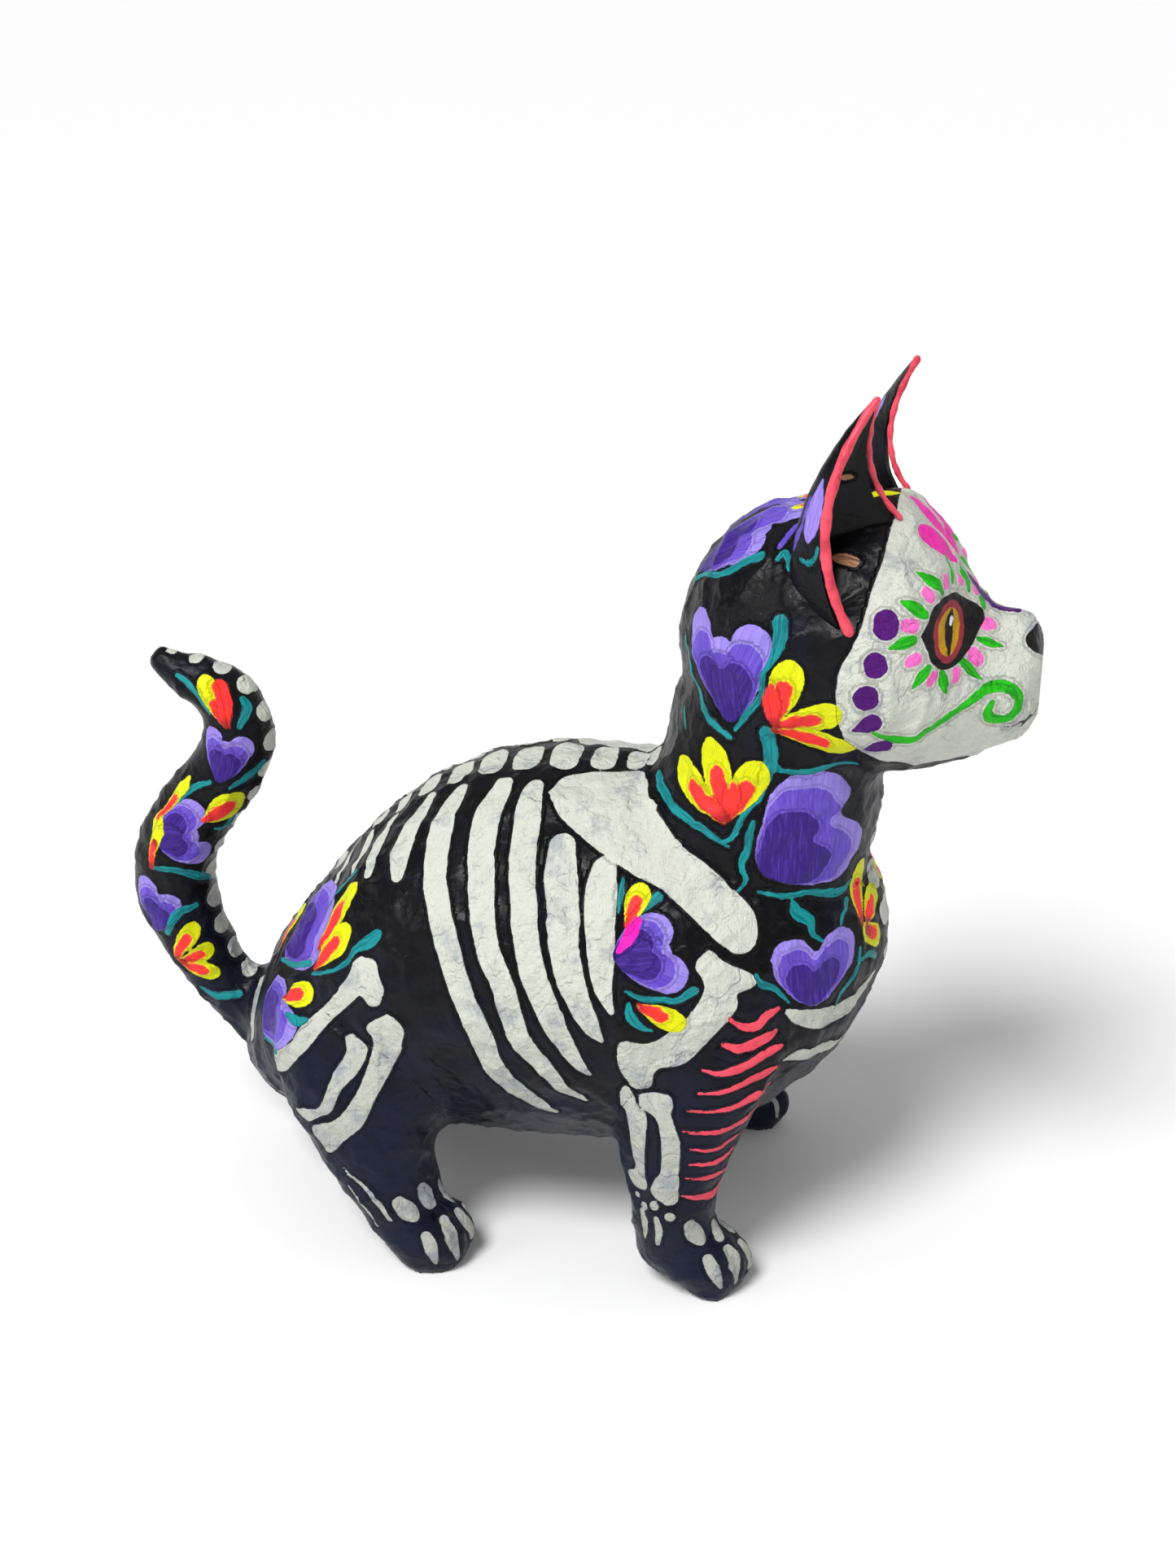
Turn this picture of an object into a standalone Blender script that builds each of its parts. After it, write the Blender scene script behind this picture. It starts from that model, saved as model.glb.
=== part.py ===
"""Papier-mache cat painted as a Day of the Dead skeleton, built as its maker builds it.

Paper shells are moulded in halves, lapped over paper seam bands and closed round a wire
armature. The legs, paws, neck and tail are laid up over the wires, and two cardboard ears
with corded rims are glued to the head. The cat looks along +X, +Z is up, its own right
side is at -Y, and the origin is on the ground under the middle of its length.
"""

import math

import bmesh
import bpy
from mathutils import Matrix, Vector

MM = 0.001

# Shell, wire and clearance sizes, in millimetres like every size below.
WALL = 3.5
BAND_THICKNESS = 1.2
BAND_WIDTH = 18.0
WIRE_RADIUS = 1.5
BINDING_RADIUS = 7.0
GAP = 0.3
PASSAGE_RADIUS = 14.0

# Body.
BODY_LENGTH = 214.0
BODY_HEIGHT = 133.0
BODY_WIDTH = 122.0
BELLY_CLEARANCE = 28.0
# Stations from the rump to the chest: share of the length, underside and back as shares
# of the height, and share of the width.
BODY_STATIONS = (
    (0.000, 0.117, 0.220, 0.12),
    (0.028, 0.045, 0.342, 0.42),
    (0.075, -0.005, 0.485, 0.62),
    (0.145, -0.015, 0.641, 0.79),
    (0.240, -0.005, 0.812, 0.90),
    (0.355, 0.000, 0.940, 0.97),
    (0.495, 0.000, 1.000, 1.00),
    (0.635, 0.020, 1.000, 1.00),
    (0.755, 0.077, 0.977, 0.95),
    (0.850, 0.158, 0.920, 0.84),
    (0.925, 0.285, 0.850, 0.66),
    (0.972, 0.415, 0.770, 0.44),
    (1.000, 0.545, 0.660, 0.14),
)

# Neck, from its foot inside the body to its top inside the head. Each station holds its
# height above the back of the body, its distance behind the chest, its half length along
# the cat and its half width.
NECK_STATIONS = (
    (-37.0, 52.0, 44.0, 40.0),
    (-17.0, 44.0, 39.0, 38.0),
    (-2.0, 39.5, 36.0, 36.0),
    (13.0, 37.5, 33.5, 35.0),
    (29.0, 35.0, 34.0, 36.0),
)

# Head: it stands over the neck and reaches past the chest.
NOSE_REACH = 41.0
HEAD_LENGTH = 109.0
HEAD_HEIGHT = 83.0
HEAD_WIDTH = 88.0
HEAD_ABOVE_BACK = 8.0
# Stations from the back of the head to the nose, with the same columns as the body's.
HEAD_STATIONS = (
    (0.000, 0.41, 0.49, 0.08),
    (0.037, 0.26, 0.67, 0.42),
    (0.110, 0.15, 0.82, 0.66),
    (0.220, 0.05, 0.93, 0.86),
    (0.367, 0.01, 0.985, 0.97),
    (0.514, 0.00, 1.00, 1.00),
    (0.624, 0.00, 0.995, 0.96),
    (0.716, 0.02, 0.86, 0.83),
    (0.790, 0.05, 0.70, 0.66),
    (0.862, 0.09, 0.61, 0.53),
    (0.935, 0.13, 0.585, 0.45),
    (0.982, 0.19, 0.54, 0.34),
    (1.000, 0.28, 0.44, 0.14),
)
FACE_SEAM_FROM_NOSE = 40.0
HEAD_BAND_WIDTH = 14.0

# Ears. Three rulings run from the head to the tip: at the outer rim, up the back and at
# the inner rim. Each holds a foot and a bend, as (forward, outward, up) from the ear's
# seat, which is measured from the nose, the middle plane and the crown of the head.
EAR_SEAT_FROM_NOSE = 57.0
EAR_SEAT_OUTWARD = 31.0
EAR_SEAT_BELOW_CROWN = 14.0
EAR_TIP = (7.0, -7.0, 50.0)
EAR_OUTER_RULING = ((3.5, 10.5, -14.0), (-17.5, 16.0, 17.5))
EAR_BACK_RULING = ((-18.5, 3.0, -4.0), (-14.0, 2.0, 26.5))
EAR_INNER_RULING = ((12.0, -15.0, 11.0), (8.5, -12.0, 34.0))
EAR_SHEET = 1.8
EAR_SHEET_TOP = 0.84
EAR_RIM_RADIUS = 1.7
EAR_RIM_INSET = 3.3
EAR_TAB = 8.0

# Legs: each station holds a height, the place along the cat and half length there, and
# the place outward and half width. Places are measured from the paw's middle.
FRONT_PAW_FROM_CHEST = 51.0
HIND_PAW_FROM_RUMP = 72.0
FRONT_PAW_OUTWARD = 49.0
HIND_PAW_OUTWARD = 54.0
FRONT_LEG_STATIONS = (
    (6.0, -7.0, 10.5, 0.0, 10.5),
    (20.0, -7.5, 13.0, 0.0, 12.5),
    (35.0, -8.0, 14.5, -0.5, 14.0),
    (50.0, -8.0, 18.0, -2.0, 15.0),
    (66.0, -5.0, 22.5, -4.0, 16.0),
    (84.0, -2.0, 27.5, -6.5, 16.5),
    (104.0, 0.0, 29.0, -10.5, 16.0),
)
HIND_LEG_STATIONS = (
    (6.0, -3.0, 10.5, 0.0, 10.5),
    (18.0, -6.0, 13.5, -1.0, 13.0),
    (30.0, -12.0, 16.5, -3.0, 15.0),
    (45.0, -17.5, 22.5, -6.0, 17.0),
    (62.0, -20.5, 29.0, -9.5, 18.0),
    (80.0, -20.0, 30.5, -14.5, 17.5),
    (96.0, -17.0, 27.0, -22.0, 15.5),
)
PAW_HALF_LENGTH = 17.0
PAW_HALF_WIDTH = 13.0
PAW_HEIGHT = 25.0
PAW_SOLE_DROP = 8.5

# Tail: its centre line behind and above the rump, and its radius there.
TAIL_ROOT_HEIGHT = 49.0
TAIL_STATIONS = (
    (2.0, -3.0, 8.5),
    (-5.0, 6.5, 9.2),
    (-16.0, 22.0, 11.0),
    (-24.0, 40.0, 13.0),
    (-27.0, 58.0, 14.0),
    (-19.0, 77.5, 13.2),
    (-6.0, 94.5, 12.4),
    (0.5, 109.5, 11.8),
    (-3.7, 121.5, 10.4),
    (-12.0, 127.0, 8.6),
    (-21.0, 130.5, 6.4),
    (-28.0, 135.0, 3.8),
)
TAIL_WIRE_STOP = 0.93

# Wires. The long one is placed in the head by shares of its length behind the nose and its
# height below the crown, and in the neck and body by shares of the body's length in front
# of the rump and its height above the belly. Each leg wire crosses under it at a share of
# the body's length. On its way up, a leg wire bends in to shares of the paw's place
# outward, at heights above the leg's middle station and below the crossing.
SPINE_IN_HEAD = (0.58, 0.40)
SPINE_IN_BODY = ((0.822, 1.12), (0.766, 0.89), (0.607, 0.62), (0.29, 0.41), (0.112, 0.26))
FRONT_CROSSING = 0.682
HIND_CROSSING = 0.243
WIRE_KNEE = (0.78, 6.0)
WIRE_SHOULDER = (0.34, 4.0)

# The passages for the long wire through the walls at both ends of the neck.
BODY_PASSAGE_HEIGHT = 60.0
HEAD_PASSAGE_HEIGHT = 40.0

# How finely the round forms are faceted.
BODY_SIDES = 22
BODY_RINGS = 17
LEG_SIDES = 14
LEG_RINGS = 8
TAIL_SIDES = 12
TAIL_RINGS = 22
WIRE_SIDES = 6
SPINE_POINTS = 42
LEG_WIRE_POINTS = 12

RIGHT, LEFT = -1, 1
TAIL_REACH = max(radius - x for x, _, radius in TAIL_STATIONS)
TOTAL_LENGTH = TAIL_REACH + BODY_LENGTH + NOSE_REACH
RUMP_X = TAIL_REACH - TOTAL_LENGTH / 2
CHEST_X = RUMP_X + BODY_LENGTH
NOSE_X = CHEST_X + NOSE_REACH
BACK_Z = BELLY_CLEARANCE + BODY_HEIGHT
CHIN_Z = BACK_Z + HEAD_ABOVE_BACK
CROWN_Z = CHIN_Z + HEAD_HEIGHT
FACE_SEAM_X = NOSE_X - FACE_SEAM_FROM_NOSE


def clear_scene():
    for obj in list(bpy.data.objects):
        bpy.data.objects.remove(obj)


def spline(keys, count):
    """Points along a Catmull-Rom curve through equal-length tuples, ends included."""
    points = []
    for i in range(count):
        place = i * (len(keys) - 1) / (count - 1)
        k = min(int(place), len(keys) - 2)
        t = place - k
        before, start, end, after = (
            keys[max(k - 1, 0)],
            keys[k],
            keys[k + 1],
            keys[min(k + 2, len(keys) - 1)],
        )
        points.append(
            tuple(
                0.5
                * (
                    2 * b
                    + (c - a) * t
                    + (2 * a - 5 * b + 4 * c - d) * t * t
                    + (3 * b - a - 3 * c + d) * t**3
                )
                for a, b, c, d in zip(before, start, end, after)
            )
        )
    return points


def new_object(name, bm):
    """Turns a bmesh in millimetres into an object, with its faces pointing out."""
    bmesh.ops.recalc_face_normals(bm, faces=bm.faces)
    bmesh.ops.scale(bm, vec=(MM, MM, MM), verts=bm.verts)
    mesh = bpy.data.meshes.new(name)
    bm.to_mesh(mesh)
    bm.free()
    mesh.shade_smooth()
    mesh.set_sharp_from_angle(angle=math.radians(40))
    obj = bpy.data.objects.new(name, mesh)
    bpy.context.scene.collection.objects.link(obj)
    return obj


def loft(name, rings, sides):
    """Bridges elliptical rings, each (centre, half axis, half axis), and caps the ends."""
    bm = bmesh.new()
    loops = []
    for centre, first, second in rings:
        verts = []
        for i in range(sides):
            angle = 2 * math.pi * i / sides
            verts.append(bm.verts.new(centre + first * math.cos(angle) + second * math.sin(angle)))
        loops.append(verts)
    for low, high in zip(loops, loops[1:]):
        for i in range(sides):
            j = (i + 1) % sides
            bm.faces.new((low[i], low[j], high[j], high[i]))
    for verts in (loops[0], loops[-1]):
        cap = bm.faces.new(verts)
        bmesh.ops.poke(bm, faces=[cap])
    return new_object(name, bm)


def sweep(name, points, radii, sides):
    """A round tube along points, turned as little as possible from ring to ring."""
    rings = []
    across = Vector((0, 1, 0))
    for i, point in enumerate(points):
        ahead = points[min(i + 1, len(points) - 1)] - points[max(i - 1, 0)]
        ahead.normalize()
        across = (across - ahead * across.dot(ahead)).normalized()
        rings.append((point, across * radii[i], ahead.cross(across) * radii[i]))
    return loft(name, rings, sides)


def box(name, low, high):
    bm = bmesh.new()
    bmesh.ops.create_cube(bm, size=1.0)
    size = Vector(high) - Vector(low)
    bmesh.ops.scale(bm, vec=size, verts=bm.verts)
    bmesh.ops.translate(bm, vec=(Vector(low) + Vector(high)) / 2, verts=bm.verts)
    return helper(new_object(name, bm))


def rod(name, centre, radius, height):
    """An upright round cutter."""
    rings = [
        (Vector(centre) + Vector((0, 0, z)), Vector((radius, 0, 0)), Vector((0, radius, 0)))
        for z in (-height / 2, height / 2)
    ]
    return helper(loft(name, rings, BODY_SIDES))


def helper(obj):
    obj.hide_render = True
    obj.display_type = "WIRE"
    return obj


def boolean(obj, operation, *others):
    for other in others:
        modifier = obj.modifiers.new(operation.title() + "_" + other.name, "BOOLEAN")
        modifier.operation = operation
        modifier.solver = "EXACT"
        modifier.object = other
    return obj


def cut(obj, *cutters):
    return boolean(obj, "DIFFERENCE", *cutters)


def keep_inside(obj, *regions):
    return boolean(obj, "INTERSECT", *regions)


def paint(obj, name, colour, roughness, metallic=0.0):
    material = bpy.data.materials.get(name) or bpy.data.materials.new(name)
    material.use_nodes = True
    shader = material.node_tree.nodes["Principled BSDF"]
    shader.inputs["Base Color"].default_value = (*colour, 1.0)
    shader.inputs["Roughness"].default_value = roughness
    shader.inputs["Metallic"].default_value = metallic
    obj.data.materials.append(material)
    return obj


def black_paper(obj):
    return paint(obj, "black_paper", (0.012, 0.013, 0.020), 0.42)


def white_paper(obj):
    return paint(obj, "white_paper", (0.80, 0.80, 0.75), 0.40)


def brown_paper(obj):
    return paint(obj, "brown_paper", (0.42, 0.30, 0.18), 0.85)


def pink_cord(obj):
    return paint(obj, "pink_cord", (0.72, 0.10, 0.14), 0.45)


def steel_wire(obj):
    return paint(obj, "steel_wire", (0.55, 0.56, 0.57), 0.35, 1.0)


def stationed_form(name, stations, start, length, floor, height, width, grow, rings):
    """A closed form lofted along X from shares of its size, grown or shrunk all round."""
    middle = start + length / 2
    stretch = 1 + 2 * grow / length
    sections = []
    for along, low, high, wide in spline(stations, rings):
        half_height = height * (high - low) / 2 + grow
        half_width = width * wide / 2 + grow
        if min(half_height, half_width) < WALL / 2:
            continue
        x = middle + (start + length * along - middle) * stretch
        centre = Vector((x, 0, floor + height * (low + high) / 2))
        sections.append((centre, Vector((0, half_width, 0)), Vector((0, 0, half_height))))
    return loft(name, sections, BODY_SIDES)


def body_form(name, grow=0.0):
    return stationed_form(
        name, BODY_STATIONS, RUMP_X, BODY_LENGTH, BELLY_CLEARANCE, BODY_HEIGHT, BODY_WIDTH, grow, BODY_RINGS
    )


def head_form(name, grow=0.0):
    start = NOSE_X - HEAD_LENGTH
    return stationed_form(
        name, HEAD_STATIONS, start, HEAD_LENGTH, CHIN_Z, HEAD_HEIGHT, HEAD_WIDTH, grow, BODY_RINGS
    )


def neck_form(name, grow=0.0, longer=0.0):
    sections = []
    stations = spline(NECK_STATIONS, 8)
    for height, back, half_length, half_width in stations:
        centre = Vector((CHEST_X - back, 0, BACK_Z + height))
        along = Vector((half_length + grow, 0, 0))
        sections.append([centre, along, Vector((0, half_width + grow, 0))])
    sections[0][0].z -= longer
    sections[-1][0].z += longer
    return loft(name, sections, BODY_SIDES)


def spine_path():
    """The long wire: from the head, down the neck, through the body and up the tail."""
    behind, below = SPINE_IN_HEAD
    keys = [(NOSE_X - HEAD_LENGTH * behind, CROWN_Z - HEAD_HEIGHT * below)]
    for along, up in SPINE_IN_BODY:
        keys.append((RUMP_X + BODY_LENGTH * along, BELLY_CLEARANCE + BODY_HEIGHT * up))
    tail = [(RUMP_X + x, TAIL_ROOT_HEIGHT + z) for x, z, _ in TAIL_STATIONS]
    points = spline(keys + tail[:-1], SPINE_POINTS)
    last = int(len(points) * TAIL_WIRE_STOP)
    return [Vector((x, 0, z)) for x, z in points[: last + 1]]


def spine_height(path, x):
    """Height of the spine wire where it passes x inside the body."""
    inside = [p for p in path if RUMP_X < p.x < CHEST_X]
    return min(inside, key=lambda p: abs(p.x - x)).z


def leg_sections(stations, paw, side, grow=0.0):
    sections = []
    for height, x, half_length, y, half_width in spline(stations, LEG_RINGS):
        centre = Vector((paw.x + x, side * (paw.y + y), height))
        along = Vector((half_length + grow, 0, 0))
        sections.append((centre, along, Vector((0, half_width + grow, 0))))
    return sections


def hoop_path(stations, paw, apex):
    """A leg wire: up one leg, under the spine wire and down the other leg."""
    keys = [
        (paw.x + x, -(paw.y + y), height + WIRE_RADIUS)
        for height, x, _, y, _ in stations[:4]
    ]
    height, x, _, y, _ = stations[4]
    inward, rise = WIRE_KNEE
    keys.append((paw.x + x, -(paw.y + y) * inward, height + rise))
    inward, drop = WIRE_SHOULDER
    keys.append((apex.x, -paw.y * inward, apex.z - drop))
    points = [Vector(p) for p in spline(keys + [tuple(apex)], LEG_WIRE_POINTS)]
    return points + [Vector((p.x, -p.y, p.z)) for p in reversed(points[:-1])]


def tube(name, path, radius):
    return sweep(name, path, [radius] * len(path), WIRE_SIDES)


def ear_point(across, up):
    """A point of the left ear's sheet: across runs from the outer to the inner rim, up from
    0 at the foot to 1 at the tip. Below the foot a tab turns into the head."""
    seat = Vector(
        (NOSE_X - EAR_SEAT_FROM_NOSE, EAR_SEAT_OUTWARD, CROWN_Z - EAR_SEAT_BELOW_CROWN)
    )
    tip = Vector(EAR_TIP)
    weights = ((1 - across) ** 2, 2 * across * (1 - across), across**2)

    def mixed(level):
        outer, back, inner = (
            Vector(ruling[level])
            for ruling in (EAR_OUTER_RULING, EAR_BACK_RULING, EAR_INNER_RULING)
        )
        pull = 2 * back - (outer + inner) / 2
        return outer * weights[0] + pull * weights[1] + inner * weights[2]

    rise = max(up, 0)
    point = seat + mixed(0) * (1 - rise) ** 2 + mixed(1) * 2 * rise * (1 - rise) + tip * rise**2
    if up < 0:
        middle = Vector((point.x, 0, CROWN_Z - HEAD_HEIGHT / 2))
        point += (middle - point).normalized() * EAR_TAB * -up
    return point


def ear_sheet(name, side):
    """A curved sheet of card that stops just short of its rim, thickened inwards."""
    columns, rows = 12, 9
    bm = bmesh.new()
    faces = ([], [])
    for r in range(rows):
        up = -1.0 if r == 0 else EAR_SHEET_TOP * (r - 1) / (rows - 2)
        width = (ear_point(1, up) - ear_point(0, up)).length
        inset = EAR_RIM_INSET / width
        line = [inset + (1 - 2 * inset) * c / (columns - 1) for c in range(columns)]
        points = [ear_point(across, up) for across in line]
        chord = (points[0] + points[-1]) / 2 - points[columns // 2]
        for row in faces:
            row.append([])
        for c, point in enumerate(points):
            along = points[min(c + 1, columns - 1)] - points[max(c - 1, 0)]
            rising = ear_point(line[c], up + 0.05) - point
            inward = along.cross(rising).normalized()
            inward *= EAR_SHEET if inward.dot(chord) > 0 else -EAR_SHEET
            for row, place in zip(faces, (point, point + inward)):
                row[-1].append(bm.verts.new((place.x, side * place.y, place.z)))
    outer, inner = faces
    for r in range(rows - 1):
        for grid in faces:
            for c in range(columns - 1):
                bm.faces.new((grid[r][c], grid[r][c + 1], grid[r + 1][c + 1], grid[r + 1][c]))
        for c in (0, columns - 1):
            bm.faces.new((outer[r][c], inner[r][c], inner[r + 1][c], outer[r + 1][c]))
    for c in range(columns - 1):
        for r in (0, rows - 1):
            bm.faces.new((outer[r][c], outer[r][c + 1], inner[r][c + 1], inner[r][c]))
    return new_object(name, bm)


def ear_rim_path(side):
    """Up the outer rim, over the tip and down the inner rim, with both feet in the head."""
    steps = 12
    rise = [-1.0] + [0.97 * i / (steps - 1) for i in range(steps)]
    outer = [ear_point(0.0, up) for up in rise]
    inner = [ear_point(1.0, up) for up in reversed(rise)]
    path = outer + [ear_point(0.5, 1.0)] + inner
    return [Vector((p.x, side * p.y, p.z)) for p in path]


def paw(name, place, side):
    """A pad of paper pulp: a squashed ball with a flat sole on the ground."""
    bm = bmesh.new()
    bmesh.ops.create_uvsphere(bm, u_segments=LEG_SIDES, v_segments=10, radius=1.0)
    half_height = (PAW_HEIGHT + PAW_SOLE_DROP) / 2
    bmesh.ops.scale(bm, vec=(PAW_HALF_LENGTH, PAW_HALF_WIDTH, half_height), verts=bm.verts)
    centre = Vector((place.x, side * place.y, PAW_HEIGHT - half_height))
    bmesh.ops.translate(bm, vec=centre, verts=bm.verts)
    cutting = bmesh.ops.bisect_plane(
        bm,
        geom=bm.verts[:] + bm.edges[:] + bm.faces[:],
        plane_co=(0, 0, 0),
        plane_no=(0, 0, -1),
        clear_outer=True,
    )
    rim = [e for e in cutting["geom_cut"] if isinstance(e, bmesh.types.BMEdge)]
    bmesh.ops.edgeloop_fill(bm, edges=rim)
    return new_object(name, bm)


def build_body(wires):
    """Two moulded half shells and the paper band that joins them inside."""
    inner = helper(body_form("body_inner_form", -WALL))
    reach = 2 * TOTAL_LENGTH
    foot = (CHEST_X - NECK_STATIONS[2][1], 0, BACK_Z)
    passage = rod("neck_passage", foot, PASSAGE_RADIUS, BODY_PASSAGE_HEIGHT)
    for name, side in (("body_shell_right", RIGHT), ("body_shell_left", LEFT)):
        low, high = sorted((side * GAP / 2, side * reach))
        half = box(name + "_half", (-reach, low, -reach), (reach, high, reach))
        shell = black_paper(body_form(name))
        cut(shell, inner)
        keep_inside(shell, half)
        cut(shell, passage, *wires)
    band = brown_paper(body_form("body_seam_band", -WALL - GAP))
    cut(band, helper(body_form("body_band_inside", -WALL - GAP - BAND_THICKNESS)))
    half_band = BAND_WIDTH / 2
    keep_inside(band, box("body_band_slab", (-reach, -half_band, -reach), (reach, half_band, reach)))
    cut(band, passage, *wires)


def build_head(wires):
    """The face and the back of the head, lapped on a band in front of the ears."""
    inner = helper(head_form("head_inner_form", -WALL))
    reach = 2 * TOTAL_LENGTH
    foot = (CHEST_X - NECK_STATIONS[-2][1], 0, CHIN_Z)
    passage = rod("head_passage", foot, PASSAGE_RADIUS, HEAD_PASSAGE_HEIGHT)
    halves = (
        ("head_back_shell", black_paper, -reach, FACE_SEAM_X - GAP / 2),
        ("face_shell", white_paper, FACE_SEAM_X + GAP / 2, reach),
    )
    for name, finish, low, high in halves:
        shell = finish(head_form(name))
        cut(shell, inner)
        keep_inside(shell, box(name + "_half", (low, -reach, -reach), (high, reach, reach)))
        cut(shell, passage, *wires)
    band = brown_paper(head_form("head_seam_band", -WALL - GAP))
    cut(band, helper(head_form("head_band_inside", -WALL - GAP - BAND_THICKNESS)))
    half_band = HEAD_BAND_WIDTH / 2
    slab = box(
        "head_band_slab",
        (FACE_SEAM_X - half_band, -reach, -reach),
        (FACE_SEAM_X + half_band, reach, reach),
    )
    keep_inside(band, slab)


def build_neck(clear_body, clear_head):
    neck = black_paper(neck_form("neck_shell"))
    cut(neck, clear_body, clear_head, helper(neck_form("neck_inner_form", -WALL, WALL)))


def build_ears(clear_head):
    for word, side in (("right", RIGHT), ("left", LEFT)):
        cut(black_paper(ear_sheet("ear_" + word, side)), clear_head)
        rim = tube("ear_rim_" + word, ear_rim_path(side), EAR_RIM_RADIUS)
        cut(pink_cord(rim), clear_head)


def build_legs(clear_body, wires):
    kinds = (
        ("front", FRONT_LEG_STATIONS, CHEST_X - FRONT_PAW_FROM_CHEST, FRONT_PAW_OUTWARD),
        ("hind", HIND_LEG_STATIONS, RUMP_X + HIND_PAW_FROM_RUMP, HIND_PAW_OUTWARD),
    )
    for kind, stations, x, outward in kinds:
        place = Vector((x, outward, 0))
        for word, side in (("right", RIGHT), ("left", LEFT)):
            name = f"{kind}_leg_{word}"
            leg = black_paper(loft(name, leg_sections(stations, place, side), LEG_SIDES))
            cut(leg, clear_body, *wires)
            clear_leg = helper(
                loft(name + "_clearance", leg_sections(stations, place, side, GAP), LEG_SIDES)
            )
            clear_leg.data.transform(Matrix.Translation((0, 0, -GAP * MM)))
            pad = black_paper(paw(f"{kind}_paw_{word}", place, side))
            cut(pad, clear_leg, *wires)


def build_tail(clear_body, wires):
    stations = spline(TAIL_STATIONS, TAIL_RINGS)
    points = [Vector((RUMP_X + x, 0, TAIL_ROOT_HEIGHT + z)) for x, z, _ in stations]
    tail = black_paper(sweep("tail_shell", points, [r for _, _, r in stations], TAIL_SIDES))
    cut(tail, clear_body, *wires)


def build_armature():
    """Three wires and two tape bindings where they cross. Returns the wires' clearances."""
    spine = spine_path()
    front = Vector((CHEST_X - FRONT_PAW_FROM_CHEST, FRONT_PAW_OUTWARD, 0))
    hind = Vector((RUMP_X + HIND_PAW_FROM_RUMP, HIND_PAW_OUTWARD, 0))
    crossing = 2 * WIRE_RADIUS + 2 * GAP
    paths = {"spine_wire": spine}
    crossings = []
    for name, stations, place, x in (
        ("front_leg_wire", FRONT_LEG_STATIONS, front, RUMP_X + BODY_LENGTH * FRONT_CROSSING),
        ("hind_leg_wire", HIND_LEG_STATIONS, hind, RUMP_X + BODY_LENGTH * HIND_CROSSING),
    ):
        apex = Vector((x, 0, spine_height(spine, x) - 2 * crossing / math.sqrt(3)))
        paths[name] = hoop_path(stations, place, apex)
        crossings.append(apex + Vector((0, 0, crossing / 2)))
    clearances = []
    for name, path in paths.items():
        steel_wire(tube(name, path, WIRE_RADIUS))
        clearances.append(helper(tube(name + "_clearance", path, WIRE_RADIUS + GAP)))
    for name, centre in zip(("front_binding", "hind_binding"), crossings):
        bm = bmesh.new()
        bmesh.ops.create_uvsphere(bm, u_segments=12, v_segments=8, radius=BINDING_RADIUS)
        bmesh.ops.translate(bm, vec=centre, verts=bm.verts)
        cut(brown_paper(new_object(name, bm)), *clearances)
    return clearances


def main():
    clear_scene()
    wires = build_armature()
    clear_body = helper(body_form("body_clearance", GAP))
    clear_head = helper(head_form("head_clearance", GAP))
    build_body(wires)
    build_head(wires)
    build_neck(clear_body, clear_head)
    build_ears(clear_head)
    build_legs(clear_body, wires)
    build_tail(clear_body, wires)


main()
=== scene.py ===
# %% [markdown]
# # A papier-mache cat painted as a skeleton, with flowers and hearts
# The real figure is made the way such folk figures are: paper strips pasted over a hollow form
# in two halves, legs and tail on wire, card ears with a cord edge, then paint and varnish.
# The imported model already holds those parts at their true size, so this lesson gives them
# their skin: the lumps of the paper, the brush strokes and the varnish. The frame is loaded
# first, and its box is kept so that the skin can be held inside it.

# %% Load the imported frame
import math

import bmesh
import bpy
import numpy as np
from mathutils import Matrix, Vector
from mathutils.bvhtree import BVHTree


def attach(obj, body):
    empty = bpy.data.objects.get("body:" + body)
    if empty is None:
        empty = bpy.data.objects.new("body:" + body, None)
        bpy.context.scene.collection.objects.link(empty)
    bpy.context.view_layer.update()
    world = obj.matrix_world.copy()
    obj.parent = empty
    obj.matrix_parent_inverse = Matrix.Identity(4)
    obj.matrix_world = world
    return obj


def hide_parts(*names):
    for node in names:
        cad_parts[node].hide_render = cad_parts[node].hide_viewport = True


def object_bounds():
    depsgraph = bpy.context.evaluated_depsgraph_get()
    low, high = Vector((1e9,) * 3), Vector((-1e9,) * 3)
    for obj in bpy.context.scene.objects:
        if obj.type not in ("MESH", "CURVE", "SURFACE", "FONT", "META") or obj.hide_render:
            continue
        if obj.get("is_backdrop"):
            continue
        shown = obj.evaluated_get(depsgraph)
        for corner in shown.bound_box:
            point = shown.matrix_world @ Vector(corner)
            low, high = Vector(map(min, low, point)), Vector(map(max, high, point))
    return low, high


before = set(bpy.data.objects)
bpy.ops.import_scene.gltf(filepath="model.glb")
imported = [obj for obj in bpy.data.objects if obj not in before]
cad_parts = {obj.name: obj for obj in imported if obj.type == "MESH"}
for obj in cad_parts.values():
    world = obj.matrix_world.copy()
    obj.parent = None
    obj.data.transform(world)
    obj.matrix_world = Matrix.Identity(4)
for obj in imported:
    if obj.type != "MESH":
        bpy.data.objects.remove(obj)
CAD_LOW, CAD_HIGH = (np.array(corner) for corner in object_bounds())
MM = 0.001
rng = np.random.default_rng(20)
print("CAD box in mm:", np.round(CAD_LOW / MM, 1), np.round(CAD_HIGH / MM, 1))

# %% [markdown]
# ## Small tools
# Blender's operators act on whatever is selected, as a hand on a mouse would. These helpers
# select one piece, apply one modifier, and read or write all vertices of a mesh at once.


# %% Selecting, applying and reading
def pick(*pieces):
    if bpy.context.object and bpy.context.object.mode != "OBJECT":
        bpy.ops.object.mode_set(mode="OBJECT")
    bpy.ops.object.select_all(action="DESELECT")
    for piece in pieces:
        piece.select_set(True)
    bpy.context.view_layer.objects.active = pieces[0]


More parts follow.
